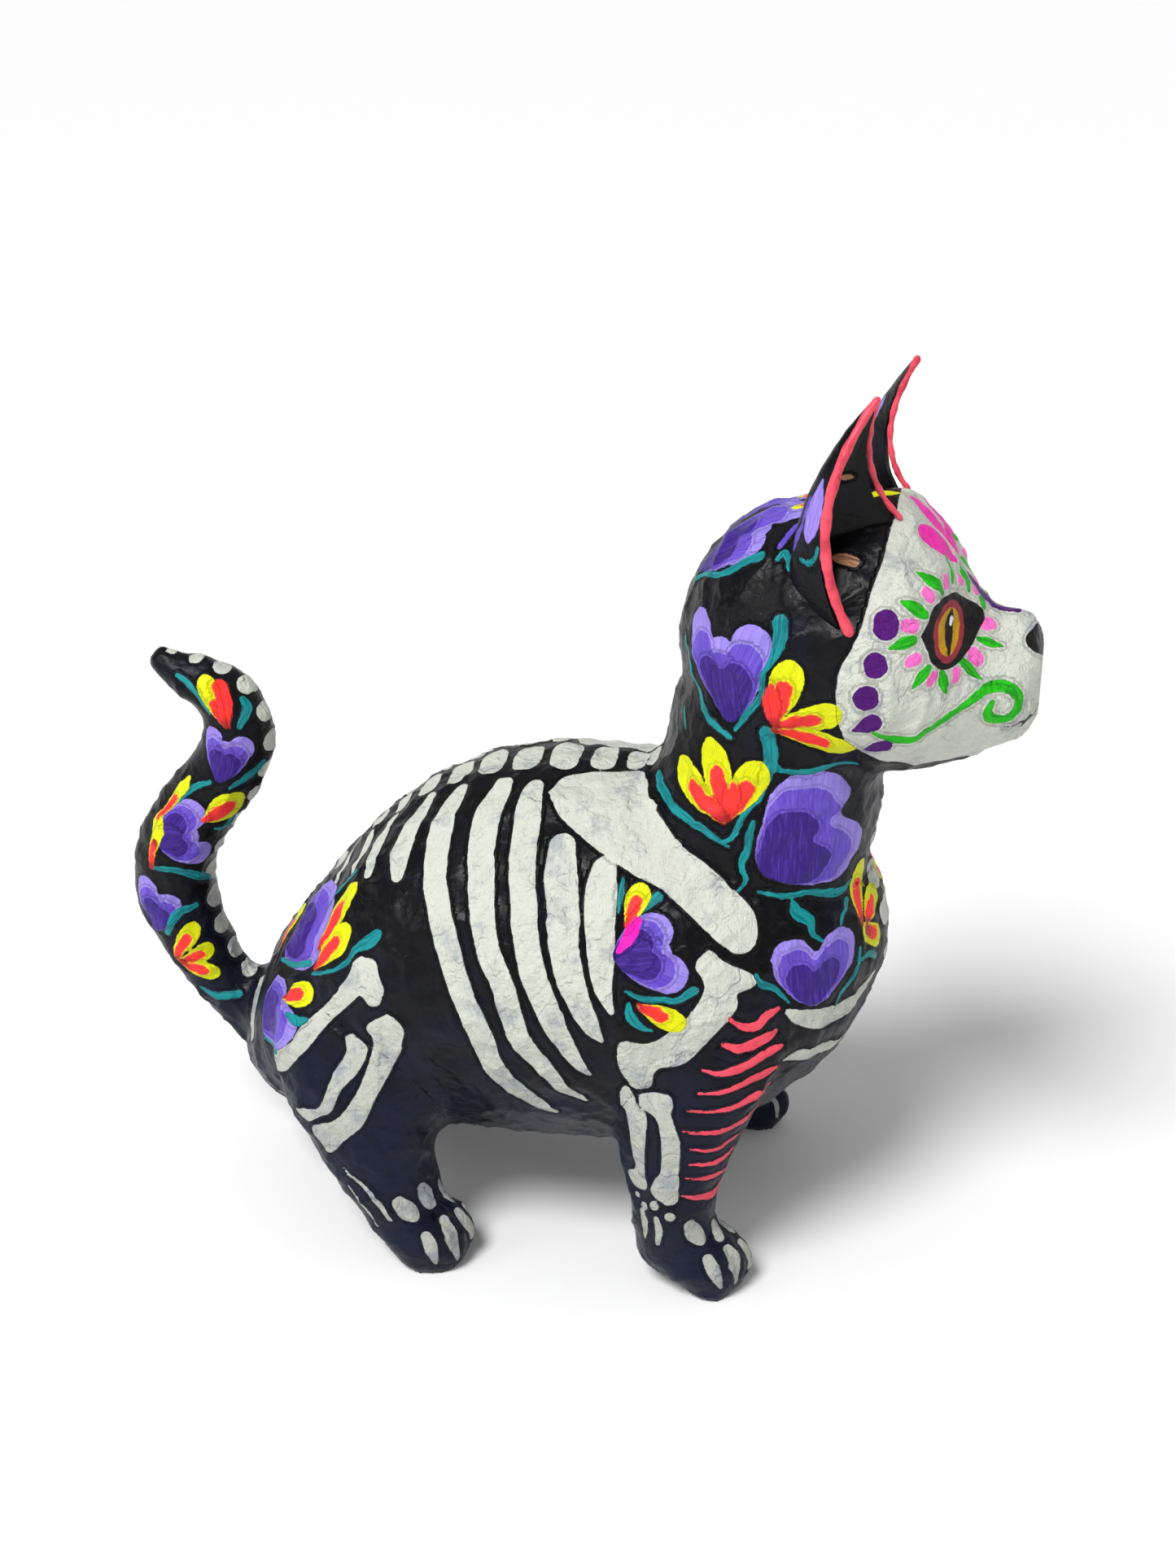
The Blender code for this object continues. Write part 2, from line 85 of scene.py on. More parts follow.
def apply_modifier(piece, kind, **settings):
    pick(piece)
    modifier = piece.modifiers.new(kind.title(), kind)
    for name, value in settings.items():
        setattr(modifier, name, value)
    bpy.ops.object.modifier_apply(modifier=modifier.name)


def reshape_all(piece, *steps):
    """Runs mesh operators in edit mode, each on all of the piece."""
    pick(piece)
    bpy.ops.object.mode_set(mode="EDIT")
    for operator, settings in steps:
        bpy.ops.mesh.select_all(action="SELECT")
        operator(**settings)
    bpy.ops.object.mode_set(mode="OBJECT")


def read(mesh, what="co"):
    """All vertices (in mm) or vertex normals of a mesh as rows of three numbers."""
    values = np.empty(len(mesh.vertices) * 3, np.float32)
    if what == "normal":
        mesh.vertex_normals.foreach_get("vector", values)
        return values.reshape(-1, 3).astype(float)
    mesh.vertices.foreach_get("co", values)
    return values.reshape(-1, 3).astype(float) / MM


def write(mesh, points):
    mesh.vertices.foreach_set("co", (points * MM).astype(np.float32).ravel())
    mesh.update()


BOX_MARGIN = 0.02


def inside_box(points):
    """The points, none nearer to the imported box's sides than a hair."""
    return np.clip(points, CAD_LOW / MM + BOX_MARGIN, CAD_HIGH / MM - BOX_MARGIN)


def smoothstep(low, high, value):
    t = np.clip((value - low) / (high - low), 0, 1)
    return t * t * (3 - 2 * t)


# %% [markdown]
# ## Camera, light and floor
# The figure stands on a pale floor under a big soft light, as for a shop picture. The camera
# stands a little in front of the cat's right side and looks down on it, so its place is
# worked out from an aim point, a turn, a tilt and a distance.

# %% Camera
AIM = Vector((0.010, 0.0, 0.151))
TURN, TILT, DISTANCE = math.radians(12), math.radians(25), 0.700
SENSOR, LENS = 36, 50.34769
away = Vector((math.sin(TURN) * math.cos(TILT), -math.cos(TURN) * math.cos(TILT), math.sin(TILT)))
bpy.ops.object.camera_add(location=AIM + away * DISTANCE)
camera = bpy.context.object
camera.name = "camera"
camera.rotation_euler = away.to_track_quat("Z", "Y").to_euler()
camera.data.sensor_fit = "VERTICAL"
camera.data.sensor_height = SENSOR
camera.data.lens = LENS
camera.data.clip_end = 50
bpy.context.scene.camera = camera
print("camera at", tuple(round(v, 3) for v in camera.location), "lens", round(camera.data.lens, 1))


# %% Lights
def softbox(name, place, size, power):
    bpy.ops.object.light_add(type="AREA", location=place)
    lamp = bpy.context.object
    lamp.name = name
    lamp.data.shape = "DISK"
    lamp.data.size = size
    lamp.data.energy = power
    lamp.rotation_euler = (Vector(place) - AIM).to_track_quat("Z", "Y").to_euler()


softbox("light_front", (-0.20, -1.15, 1.30), 0.6, 2.5)
softbox("light_left", (-1.05, -0.80, 0.90), 0.5, 2.5)
slope = (math.radians(31), math.radians(-15), 0)
bpy.ops.object.light_add(type="SUN", location=(0, 0, 2), rotation=slope)
sky_panel = bpy.context.object
sky_panel.name = "light_sky_panel"
sky_panel.data.energy = 2.75
sky_panel.data.angle = math.radians(22)
world = bpy.data.worlds.new("studio")
world.use_nodes = True
room = world.node_tree.nodes
around, height, shade = (
    room.new("ShaderNode" + kind) for kind in ("TexCoord", "SeparateXYZ", "ValToRGB")
)
world.node_tree.links.new(around.outputs["Generated"], height.inputs[0])
world.node_tree.links.new(height.outputs["Z"], shade.inputs["Fac"])
world.node_tree.links.new(shade.outputs["Color"], room["Background"].inputs["Color"])
ROOM_GREYS = ((0.0, 0.94), (0.14, 0.94), (0.20, 0.11), (0.5, 0.20), (1.0, 0.60))
for number, (rise, grey) in enumerate(ROOM_GREYS):
    if number > 1:
        shade.color_ramp.elements.new(rise)
    shade.color_ramp.elements[number].position = rise
    shade.color_ramp.elements[number].color = (grey, grey, grey, 1)
bpy.context.scene.world = world
bpy.context.scene.view_settings.view_transform = "Standard"
print("three soft lights and a pale room")

# %% [markdown]
# ## Materials as sums
# A material is a small calculation. Wrapping each socket in a class that knows + - * and /
# lets the calculation be read as a sum, while Blender still gets ordinary Math nodes.


# %% A socket that can be used in sums
class Amount:
    def __init__(self, recipe, socket):
        self.recipe, self.socket = recipe, socket

    def math(self, operation, first, second):
        return self.recipe.node("ShaderNodeMath", {"operation": operation}, {0: first, 1: second})

    def __add__(self, other):
        return self.math("ADD", self, other)

    def __sub__(self, other):
        return self.math("SUBTRACT", self, other)

    def __rsub__(self, other):
        return self.math("SUBTRACT", other, self)

    def __mul__(self, other):
        return self.math("MULTIPLY", self, other)

    __radd__, __rmul__ = __add__, __mul__


class Recipe:
    """One material: node() adds any node, and the rest are short names for common ones."""

    def __init__(self, name):
        self.material = bpy.data.materials.new(name)
        self.material.use_nodes = True
        self.tree = self.material.node_tree
        self.tree.nodes.clear()

    def node(self, kind, settings=None, inputs=None, output=0):
        node = self.tree.nodes.new(kind)
        for name, value in (settings or {}).items():
            setattr(node, name, value)
        for name, value in (inputs or {}).items():
            if isinstance(value, Amount):
                self.tree.links.new(value.socket, node.inputs[name])
            else:
                node.inputs[name].default_value = value
        return Amount(self, node.outputs[output])

    def place(self):
        return self.node("ShaderNodeTexCoord", output="Object")

    def noise(self, where, scale, detail=3.0, rough=0.55):
        return self.node(
            "ShaderNodeTexNoise", None,
            {"Vector": where, "Scale": scale, "Detail": detail, "Roughness": rough},
        )

    def step(self, value, low, high):
        settings = {"interpolation_type": "SMOOTHSTEP"}
        return self.node(
            "ShaderNodeMapRange", settings, {"Value": value, "From Min": low, "From Max": high},
        )

    def mix(self, share, first, second):
        settings = {"data_type": "RGBA"}
        return self.node("ShaderNodeMix", settings, {0: share, 6: first, 7: second}, output=2)

    def bump(self, height, distance, strength=1.0):
        inputs = {"Height": height, "Distance": distance, "Strength": strength}
        return self.node("ShaderNodeBump", None, inputs)

    def vector(self, operation, first, second):
        inputs = {0: first, "Scale" if operation == "SCALE" else 1: second}
        return self.node("ShaderNodeVectorMath", {"operation": operation}, inputs)

    def painted(self, name, output):
        """What the brushes left on the mesh under this name."""
        return self.node("ShaderNodeAttribute", {"attribute_name": name}, output=output)

    def split(self, where, axis):
        return self.node("ShaderNodeSeparateXYZ", None, {0: where}, output=axis)

    def finish(self, colour, roughness, normal, **constants):
        inputs = {"Base Color": colour, "Roughness": roughness, "Normal": normal}
        for name, value in constants.items():
            inputs[name.replace("_", " ")] = value
        surface = self.node("ShaderNodeBsdfPrincipled", None, inputs)
        output = self.tree.nodes.new("ShaderNodeOutputMaterial")
        self.tree.links.new(surface.socket, output.inputs["Surface"])
        return self.material


def rgb(red, green, blue):
    """A colour as a paint chart gives it, 0 to 255, turned into light amounts."""
    light = (
        c / 255 / 12.92 if c <= 10 else ((c / 255 + 0.055) / 1.055) ** 2.4
        for c in (red, green, blue)
    )
    return (*light, 1)


# %% Floor
bpy.ops.mesh.primitive_plane_add(size=14, location=(0, 0, 0))
floor = bpy.context.object
floor.name = "floor"
recipe = Recipe("pale_floor")
grain = recipe.noise(recipe.place(), 60)
pale = recipe.mix(grain, (0.84, 0.84, 0.84, 1), (0.86, 0.86, 0.86, 1))
glow = {"Emission_Color": (1, 1, 1, 1), "Emission_Strength": 0.05}
floor.data.materials.append(
    recipe.finish(pale, 0.9, recipe.bump(grain, 0.0001), IOR=1.1, **glow)
)
floor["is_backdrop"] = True
print("floor", tuple(round(v, 1) for v in floor.dimensions))

# %% [markdown]
# ## One skin over all the shells
# Paper strips run across every joint of the real figure, so the skin is one surface. Copies
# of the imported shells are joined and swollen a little, so that the gaps between them close,
# and Blender's voxel remesh turns them into one even mesh. Only its outer sheet is kept.

# %% Join the shells
SHELLS = (
    "body_shell_right", "body_shell_left", "neck_shell", "head_back_shell", "face_shell",
    "front_leg_right", "front_leg_left", "hind_leg_right", "hind_leg_left",
    "front_paw_right", "front_paw_left", "hind_paw_right", "hind_paw_left", "tail_shell",
)
SWELL = 0.5
WELD = {"threshold": 0.00002}


def sides_of(points):
    return np.round(np.ptp(points, axis=0), 1)


def outer_sheet(piece):
    """Keeps the largest closed sheet of a mesh, and deletes those inside it."""
    reshape_all(piece, (bpy.ops.mesh.separate, {"type": "LOOSE"}))
    sheets = sorted(bpy.context.selected_objects, key=lambda sheet: len(sheet.data.vertices))
    for sheet in sheets[:-1]:
        bpy.data.objects.remove(sheet)
    return sheets[-1]


def swell(piece, amount):
    apply_modifier(piece, "DISPLACE", strength=amount * MM, mid_level=0)


def remesh(piece, voxel):
    apply_modifier(piece, "REMESH", mode="VOXEL", voxel_size=voxel * MM)
    return outer_sheet(piece)


def soften(piece, rounds):
    apply_modifier(piece, "SMOOTH", factor=0.5, iterations=rounds)


def node_copy(name):
    copy = bpy.data.objects.new("copy_" + name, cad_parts[name].data.copy())
    bpy.context.scene.collection.objects.link(copy)
    return copy


skin = node_copy(SHELLS[0])
pick(skin, *(node_copy(name) for name in SHELLS[1:]))
bpy.ops.object.join()
reshape_all(skin, (bpy.ops.mesh.remove_doubles, WELD))
skin.data.materials.clear()
swell(skin, SWELL)
skin = remesh(skin, 1.3)
print("first skin:", len(skin.data.vertices), "points, size", sides_of(read(skin.data)))

# %% [markdown]
# ## Filling the creases
# Paste and paper fill every sharp inner corner. Swelling the skin, remeshing it and shrinking
# it back by the same amount does this: a corner that closed while swollen stays filled.

# %% Swell, remesh and shrink
FILL = 4.0
swell(skin, FILL)
skin = remesh(skin, 1.4)
soften(skin, 4)
swell(skin, -(FILL + SWELL))
skin = remesh(skin, 1.2)
soften(skin, 14)
print("filled skin:", len(skin.data.vertices), "points, size", sides_of(read(skin.data)))

# %% [markdown]
# ## Thumb work
# The maker presses eye hollows, a brow, a muzzle and the grooves between the toes into the
# wet paper. Each press here moves the points near a spot along the skin's own outward
# direction, most at the spot and less towards the edge of its reach.


# %% Press and raise
def press(points, normals, spot, reach, amount):
    """Moves points within reach of the line through the spots outwards by amount mm."""
    spots = np.array(spot, float).reshape(-1, 3)
    distance = np.full(len(points), 1e9)
    for first, second in list(zip(spots, spots[1:])) or [(spots[0], spots[0])]:
        along = second - first
        share = np.clip((points - first) @ along / max(along @ along, 1e-9), 0, 1)
        distance = np.minimum(
            distance, np.linalg.norm(points - first - share[:, None] * along, axis=1),
        )
    points += normals * (amount * (1 - smoothstep(0, reach, distance)))[:, None]


PAINTING_VOXEL = 0.82
skin = remesh(skin, PAINTING_VOXEL)
soften(skin, 6)
points, normals = read(skin.data), read(skin.data, "normal")
for side in (-1, 1):
    for spot, reach, amount in (
        ((122, 26, 221), 15, -1.3),
        (((112, 30, 236), (120, 14, 236), (127, 5, 230)), 9, 0.9),
        ((139, 9, 202), 13, 0.9),
        ((44, 57, 0), 15, -4.5),
        ((52, 63, 0), 14, -3.5),
        ((-47, 62, 0), 15, -6),
        ((-17, 45, 11), 14, 3.4),
        ((71, 43, 9), 12, 2.4),
        (((146, 2, 199), (143, 9, 193), (137, 16, 190)), 4, -0.9),
    ):
        press(points, normals, np.array(spot) * (1, side, 1), reach, amount)
    for toe in (-1, 0, 1):
        y = side * 49 + toe * 6.2
        press(points, normals, [(62, y, 22), (69, y, 16), (74, y, 4)], 3.2, -1.2)
        y = side * 54 + toe * 6.2
        press(points, normals, [(-28, y, 22), (-21, y, 16), (-17, y, 4)], 3.2, -1.2)
RAISED = (
    ((146, 0, 220), 16, 3.6), ((132, 0, 226), 13, 2.0), ((118, 0, 241), 14, 1.4),
    ((104, 0, 251), 17, 2.6),
)
for spot, reach, lift in RAISED:
    gap = np.linalg.norm((points - spot) * (1, 0.7, 1), axis=1)
    points[:, 2] += lift * (1 - smoothstep(0, reach, gap))
write(skin.data, points)
print("skin for painting:", len(points), "points")

# %% [markdown]
# ## Lumps and torn strips
# Under the paint the surface is never even: wide soft lumps from the filling, and the edges
# of hundreds of torn paper strips, each a little thicker than the skin around it. The lumps
# come from Displace modifiers that read a cloud texture. The strips are laid at random
# places and angles, and each raises the points under it by a paper's thickness.


# %% Lumps
def clouds(name, size):
    texture = bpy.data.textures.new(name, "CLOUDS")
    texture.noise_scale = size * MM
    texture.noise_depth = 2
    return texture


def lump(piece, texture, height):
    settings = {"texture": texture, "texture_coords": "LOCAL", "mid_level": 0.5}
    apply_modifier(piece, "DISPLACE", strength=height * MM, **settings)


for name, size, height in (("wide_lumps", 26, 1.1), ("small_lumps", 9, 0.6), ("pulp", 3.2, 0.32)):
    lump(skin, clouds(name, size), height)
crumple = bpy.data.textures.new("crumple", "MUSGRAVE")
crumple.musgrave_type = "RIDGED_MULTIFRACTAL"
crumple.noise_scale = 13 * MM
crumple.octaves = 3
lump(skin, crumple, 0.7)
print("lumps laid on")


# %% Torn strips
STRIPS, SAME_SIDE = 520, 0.35
points, normals = read(skin.data), read(skin.data, "normal")
raised = np.zeros(len(points))
for _ in range(STRIPS):
    start = rng.integers(len(points))
    centre, up = points[start], normals[start]
    along = np.cross(up, rng.normal(size=3))
    along /= np.linalg.norm(along)
    across = np.cross(up, along)
    length, width, thickness = rng.uniform(9, 17), rng.uniform(4, 8), rng.uniform(0.10, 0.22)
    wave = rng.uniform(0, 6.28, 4)
    near = np.flatnonzero((np.abs(points - centre) < length + 2).all(axis=1))
    offset = points[near] - centre
    s, t = offset @ along, offset @ across
    torn = 0.8 * np.sin(s * 0.55 + wave[0]) + 0.5 * np.sin(s * 1.3 + wave[1])
    torn += 0.6 * np.sin(t * 0.9 + wave[2])
    inside = np.minimum(length - np.abs(s), width - np.abs(t)) + torn
    facing = normals[near] @ up > SAME_SIDE
    raised[near] += thickness * smoothstep(-0.5, 0.5, inside) * facing
raised -= raised.mean()
points += normals * np.clip(raised, -0.5, 0.6)[:, None]
points = inside_box(points)
write(skin.data, points)
print(STRIPS, "strips, size", sides_of(points))

# %% [markdown]
# ## Laying the paint
# A brush stroke is a line on the skin with a width that swells and tapers. For every stroke
# the depth inside its edge is measured at each point of the skin, in millimetres, and kept as
# one number for each colour. The material later turns that number into a crisp edge, which
# is much sharper than colouring the points themselves. Outlined shapes are filled patches.

# %% The colours, from the first coat to the last
COATS = (
    "bone", "lavender", "violet", "indigo", "teal", "yellow", "red", "coral", "magenta",
    "pink", "green", "aubergine", "ink", "crimson", "gold", "pupil", "glint", "tan",
)
# FAR stands for no paint. BRUSH_EDGE is how far outside its edge a stroke's bristles are kept,
# BLOCK how many points are measured at a time, and STROKE_SHIFT parts the bristle marks of
# one stroke from those of the next. The steps are the lengths that lines are cut into.
FAR, BRUSH_EDGE, BLOCK, STROKE_SHIFT = -6.0, -0.9, 4000, 7.3
STROKE_STEP, RING_STEP = 0.45, 1.0


class Canvas:
    """A mesh that is painted: its points, its outward directions and one depth for each coat."""

    def __init__(self, piece):
        self.mesh = piece.data
        self.points, self.normals = read(self.mesh), read(self.mesh, "normal")
        polygons = [tuple(p.vertices) for p in self.mesh.polygons]
        self.tree = BVHTree.FromPolygons([tuple(p) for p in self.points], polygons)
        self.depth = {coat: np.full(len(self.points), FAR) for coat in COATS}
        self.brush = np.zeros((len(self.points), 3))
        self.count = 0

    def drop(self, points):
        """The nearest places on the skin, and the outward direction at each."""
        found = [self.tree.find_nearest(Vector(p)) for p in points]
        return np.array([f[0] for f in found]), np.array([f[1] for f in found])

    def merge(self, coat, near, depth, brush):
        """Adds a stroke to a coat. The brush marks are kept for the stroke on top."""
        self.depth[coat][near] = np.maximum(self.depth[coat][near], depth)
        inside = depth > BRUSH_EDGE
        self.brush[near[inside]] = brush[inside]
        self.count += 1

    def stroke(self, coat, controls):
        rows = smooth_line(np.array(controls, float), STROKE_STEP)
        line, facing = self.drop(rows[:, :3])
        radius = rows[:, 3] / 2
        reach = radius.max() + 2
        low, high = line.min(axis=0) - reach, line.max(axis=0) + reach
        near = np.flatnonzero(((self.points > low) & (self.points < high)).all(axis=1))
        travelled = np.concatenate([[0], np.cumsum(np.linalg.norm(np.diff(line, axis=0), axis=1))])
        depth, brush = np.full(len(near), FAR), np.zeros((len(near), 3))
        direction = np.gradient(line, axis=0)
        direction /= np.linalg.norm(direction, axis=1)[:, None] + 1e-9
        for start in range(0, len(near), BLOCK):
            span = slice(start, start + BLOCK)
            block = near[span]
            gap = self.points[block][:, None, :] - line[None]
            inside = radius - np.sqrt((gap**2).sum(axis=2))
            best = inside.argmax(axis=1)
            pick_row = np.arange(len(block))
            ok = (self.normals[block] * facing[best]).sum(axis=1) > -0.1
            depth[span] = np.where(ok, inside[pick_row, best], FAR)
            sideways = np.cross(facing[best], direction[best])
            offset = gap[pick_row, best]
            brush[span, 0] = (offset * sideways).sum(axis=1)
            brush[span, 1] = travelled[best]
            brush[span, 2] = STROKE_SHIFT * self.count
        self.merge(coat, near, depth, brush)

    def patch(self, coat, outline):
        line, facing = self.drop(smooth_ring(np.array(outline, float), RING_STEP))
        centre, up = line.mean(axis=0), facing.mean(axis=0)
        up /= np.linalg.norm(up)
        across = np.cross(up, (0, 0, 1.0))
        across /= np.linalg.norm(across)
        along = np.cross(across, up)
        flat = np.stack([(line - centre) @ across, (line - centre) @ along], axis=1)
        reach = np.linalg.norm(line - centre, axis=1).max() + 3
        close = np.linalg.norm(self.points - centre, axis=1) < reach
        near = np.flatnonzero(close & (self.normals @ up > 0.05))
        offset = self.points[near] - centre
        spot = np.stack([offset @ across, offset @ along], axis=1)
        brush = np.column_stack([spot, np.full(len(near), STROKE_SHIFT * self.count)])
        self.merge(coat, near, ring_depth(flat, spot), brush)

    def save(self):
        for coat, depth in self.depth.items():
            attribute = self.mesh.attributes.new("coat_" + coat, "FLOAT", "POINT")
            attribute.data.foreach_set("value", depth.astype(np.float32))
        attribute = self.mesh.attributes.new("brush", "FLOAT_VECTOR", "POINT")
        attribute.data.foreach_set("vector", self.brush.astype(np.float32).ravel())


# %% Smooth lines and rings, and how deep a place is inside a ring
def smooth_line(rows, gap):
    """A smooth run through rows of x, y, z, width, cut into steps about gap mm long."""
    if len(rows) == 1:
        rows = np.vstack([rows, rows + (0.01, 0, 0.01, 0)])
    ends = np.vstack([2 * rows[0] - rows[1], rows, 2 * rows[-1] - rows[-2]])
    made = []
    for a, b, c, d in zip(ends, ends[1:], ends[2:], ends[3:]):
        steps = max(2, int(np.linalg.norm((c - b)[:3]) / gap))
        for t in np.arange(steps) / steps:
            square, cube = 2 * a - 5 * b + 4 * c - d, 3 * b - a - 3 * c + d
            made.append(0.5 * (2 * b + (c - a) * t + square * t**2 + cube * t**3))
    made.append(rows[-1])
    made = np.array(made)
    made[:, 3] = np.clip(made[:, 3], 0.2, None)
    return made


def smooth_ring(rows, gap):
    wide = np.column_stack([rows, np.ones(len(rows))])
    return smooth_line(np.vstack([wide, wide[:1]]), gap)[:-1, :3]


def ring_depth(ring, spots):
    """How many mm each spot lies inside the ring, less than zero outside it."""
    after = np.roll(ring, -1, axis=0)
    nearest, crossings = np.full(len(spots), 1e9), np.zeros(len(spots), int)
    for (ax, ay), (bx, by) in zip(ring, after):
        ex, ey = bx - ax, by - ay
        x, y = spots[:, 0] - ax, spots[:, 1] - ay
        share = np.clip((x * ex + y * ey) / (ex * ex + ey * ey + 1e-12), 0, 1)
        nearest = np.minimum(nearest, np.hypot(x - share * ex, y - share * ey))
        spans = (ay > spots[:, 1]) != (by > spots[:, 1])
        crossings += spans & (spots[:, 0] < ax + ex * y / (ey if ey else 1e-12))
    return np.where(crossings % 2 == 1, nearest, -nearest)


canvas = Canvas(skin)
print("canvas of", len(canvas.points), "points ready")

# %% [markdown]
# ## The motifs
# Each motif is a few strokes: a rib is one fat stroke, a heart is two lobes that meet at a
# tip in three shades, a petal is a yellow stroke with a red one inside it, and a stem is a
# thin teal line. What is on the cat's right flank is painted again on its left, with the
# small differences that a hand makes.

# %% Strokes on both flanks
SHAKE = 0.45


def other_flank(points):
    copy = np.array(points, float)
    copy[:, 1] *= -1
    copy[:, :3] += rng.normal(0, SHAKE, (len(copy), 3))
    return copy


def paint_once(coat, *points):
    """A stroke that is laid where it is given, without a twin on the other flank."""
    canvas.stroke(coat, points)


def paint(coat, *points):
    paint_once(coat, *points)
    paint_once(coat, *other_flank(points))


def paint_patch(coat, *points):
    canvas.patch(coat, points)
    canvas.patch(coat, other_flank(points))


def toward(start, end, share):
    return tuple(a + (b - a) * share for a, b in zip(start, end))


def heart(tip, lobe, other, size, other_size, foot=0.5):
    """Three hearts in one: each darker one is smaller and nearer the tip."""
    fat, middle = (size + other_size) / 2, toward(lobe, other, 0.5)
    base = toward(tip, middle, 0.10)
    lobes = (
        (lobe, size, 0.5, 1.02, 1, 1.06),
        (other, other_size, 0.5, 1.02, 1, 1.06),
        (middle, fat, 0.45, 0.95, 0.80, 1),
    )
    for coat, share, width in (
        ("lavender", 1.0, 1.0), ("violet", 0.76, 0.88), ("indigo", 0.52, 0.74),
    ):
        for end, full, half, half_width, whole, whole_width in lobes:
            paint(
                coat,
                (*base, fat * foot),
                (*toward(base, end, share * half), full * width * half_width),
                (*toward(base, end, share * whole), full * width * whole_width),
            )


def petal(base, tip, width, red=0.72):
    """A yellow petal that is widest near its tip, and the red flame inside it."""
    paint(
        "yellow", (*base, 1.2), (*toward(base, tip, 0.5), width * 0.9),
        (*toward(base, tip, 0.82), width * 1.05), (*tip, width * 0.5),
    )
    if red:
        paint(
            "red", (*base, 1.6), (*toward(base, tip, red * 0.5), width * 0.54),
            (*toward(base, tip, red * 0.92), width * 0.56),
        )


def heart_outline(tip, *outline):
    """The same three hearts where the surface turns away, from the outline of the largest."""
    for coat, share in (("lavender", 1.0), ("violet", 0.84), ("indigo", 0.62)):
        paint_patch(coat, *(toward(tip, spot, share) for spot in outline))


def stem(*points):
    paint("teal", *points)


print("motif brushes ready")

# %% [markdown]
# ## Bones
# The skeleton is the first thing painted on the black: a row of back bones that runs into the
# tail, ribs that hang from it, the shoulder and thigh with their long bones, and small oval
# bones in the toes. The white of the face is one big patch in side view.


# %% Face
FACE_EDGE = (
    (103, 266), (103, 252), (102, 248), (101, 242), (99, 236), (98, 231), (97, 226), (94.5, 220),
    (92, 215), (91, 208), (91.5, 198), (94, 191), (99, 185.5), (106, 181), (114, 178.5), (123, 178),
    (133, 177), (143, 175), (156, 172), (160, 190), (160, 266),
)
FACE_BEGINS = 86
ahead = np.flatnonzero(canvas.points[:, 0] > FACE_BEGINS)
x, y, z = canvas.points[ahead].T
face_depth = ring_depth(np.array(FACE_EDGE), np.column_stack([x, z]))
face_brush = np.column_stack([y, z, np.zeros(len(ahead))])
canvas.merge("bone", ahead, face_depth, face_brush)
print("face patch covers", int((face_depth > 0).sum()), "points")

# %% Back bones and tail bones
BACK_BONES = (
    (34, 160, 6), (26, 161, 7), (15.5, 161, 9), (3, 160.5, 10.5), (-9.5, 159, 10), (-21, 156, 9.5),
    (-32, 151.5, 9), (-42, 145.5, 8), (-51, 139, 7), (-59, 132, 6.5), (-67, 124.5, 6),
    (-75, 116, 5.5), (-83, 107, 5.5), (-90, 98, 5), (-96, 88, 5),
)
TAIL_BONES = (
    (-110, 68, 6), (-115, 77, 7), (-118, 87, 7.5), (-119, 97, 7.5), (-116, 107, 7.5),
    (-112, 117, 7.5), (-107, 127, 7.5), (-101, 137, 7.5), (-97, 147, 7.5), (-96, 157, 7),
    (-98, 166.5, 6.5), (-103.5, 175, 6.5), (-111, 181, 6), (-119.5, 184.5, 5), (-127, 188, 3.5),
)
for x, z, size in BACK_BONES:
    reach = size * 0.5
    paint_once(
        "bone", (x + 0.3, -reach, z - 0.5, size * 0.88), (x, 0, z, size * 0.96),
        (x - 0.2, reach, z - 0.5, size * 0.9),
    )
for x, z, size in TAIL_BONES:
    reach = size * 0.26
    paint_once("bone", (x, -reach, z, size * 0.92), (x, 0, z, size), (x, reach, z, size * 0.92))
for x, z, size in ((101, 141, 6), (104, 130, 8), (106, 117.5, 8.5), (106, 105, 7), (104, 93, 5)):
    paint_once("bone", (x, -size * 0.45, z, size), (x, size * 0.45, z, size))
print(len(BACK_BONES), "back bones,", len(TAIL_BONES), "tail bones")

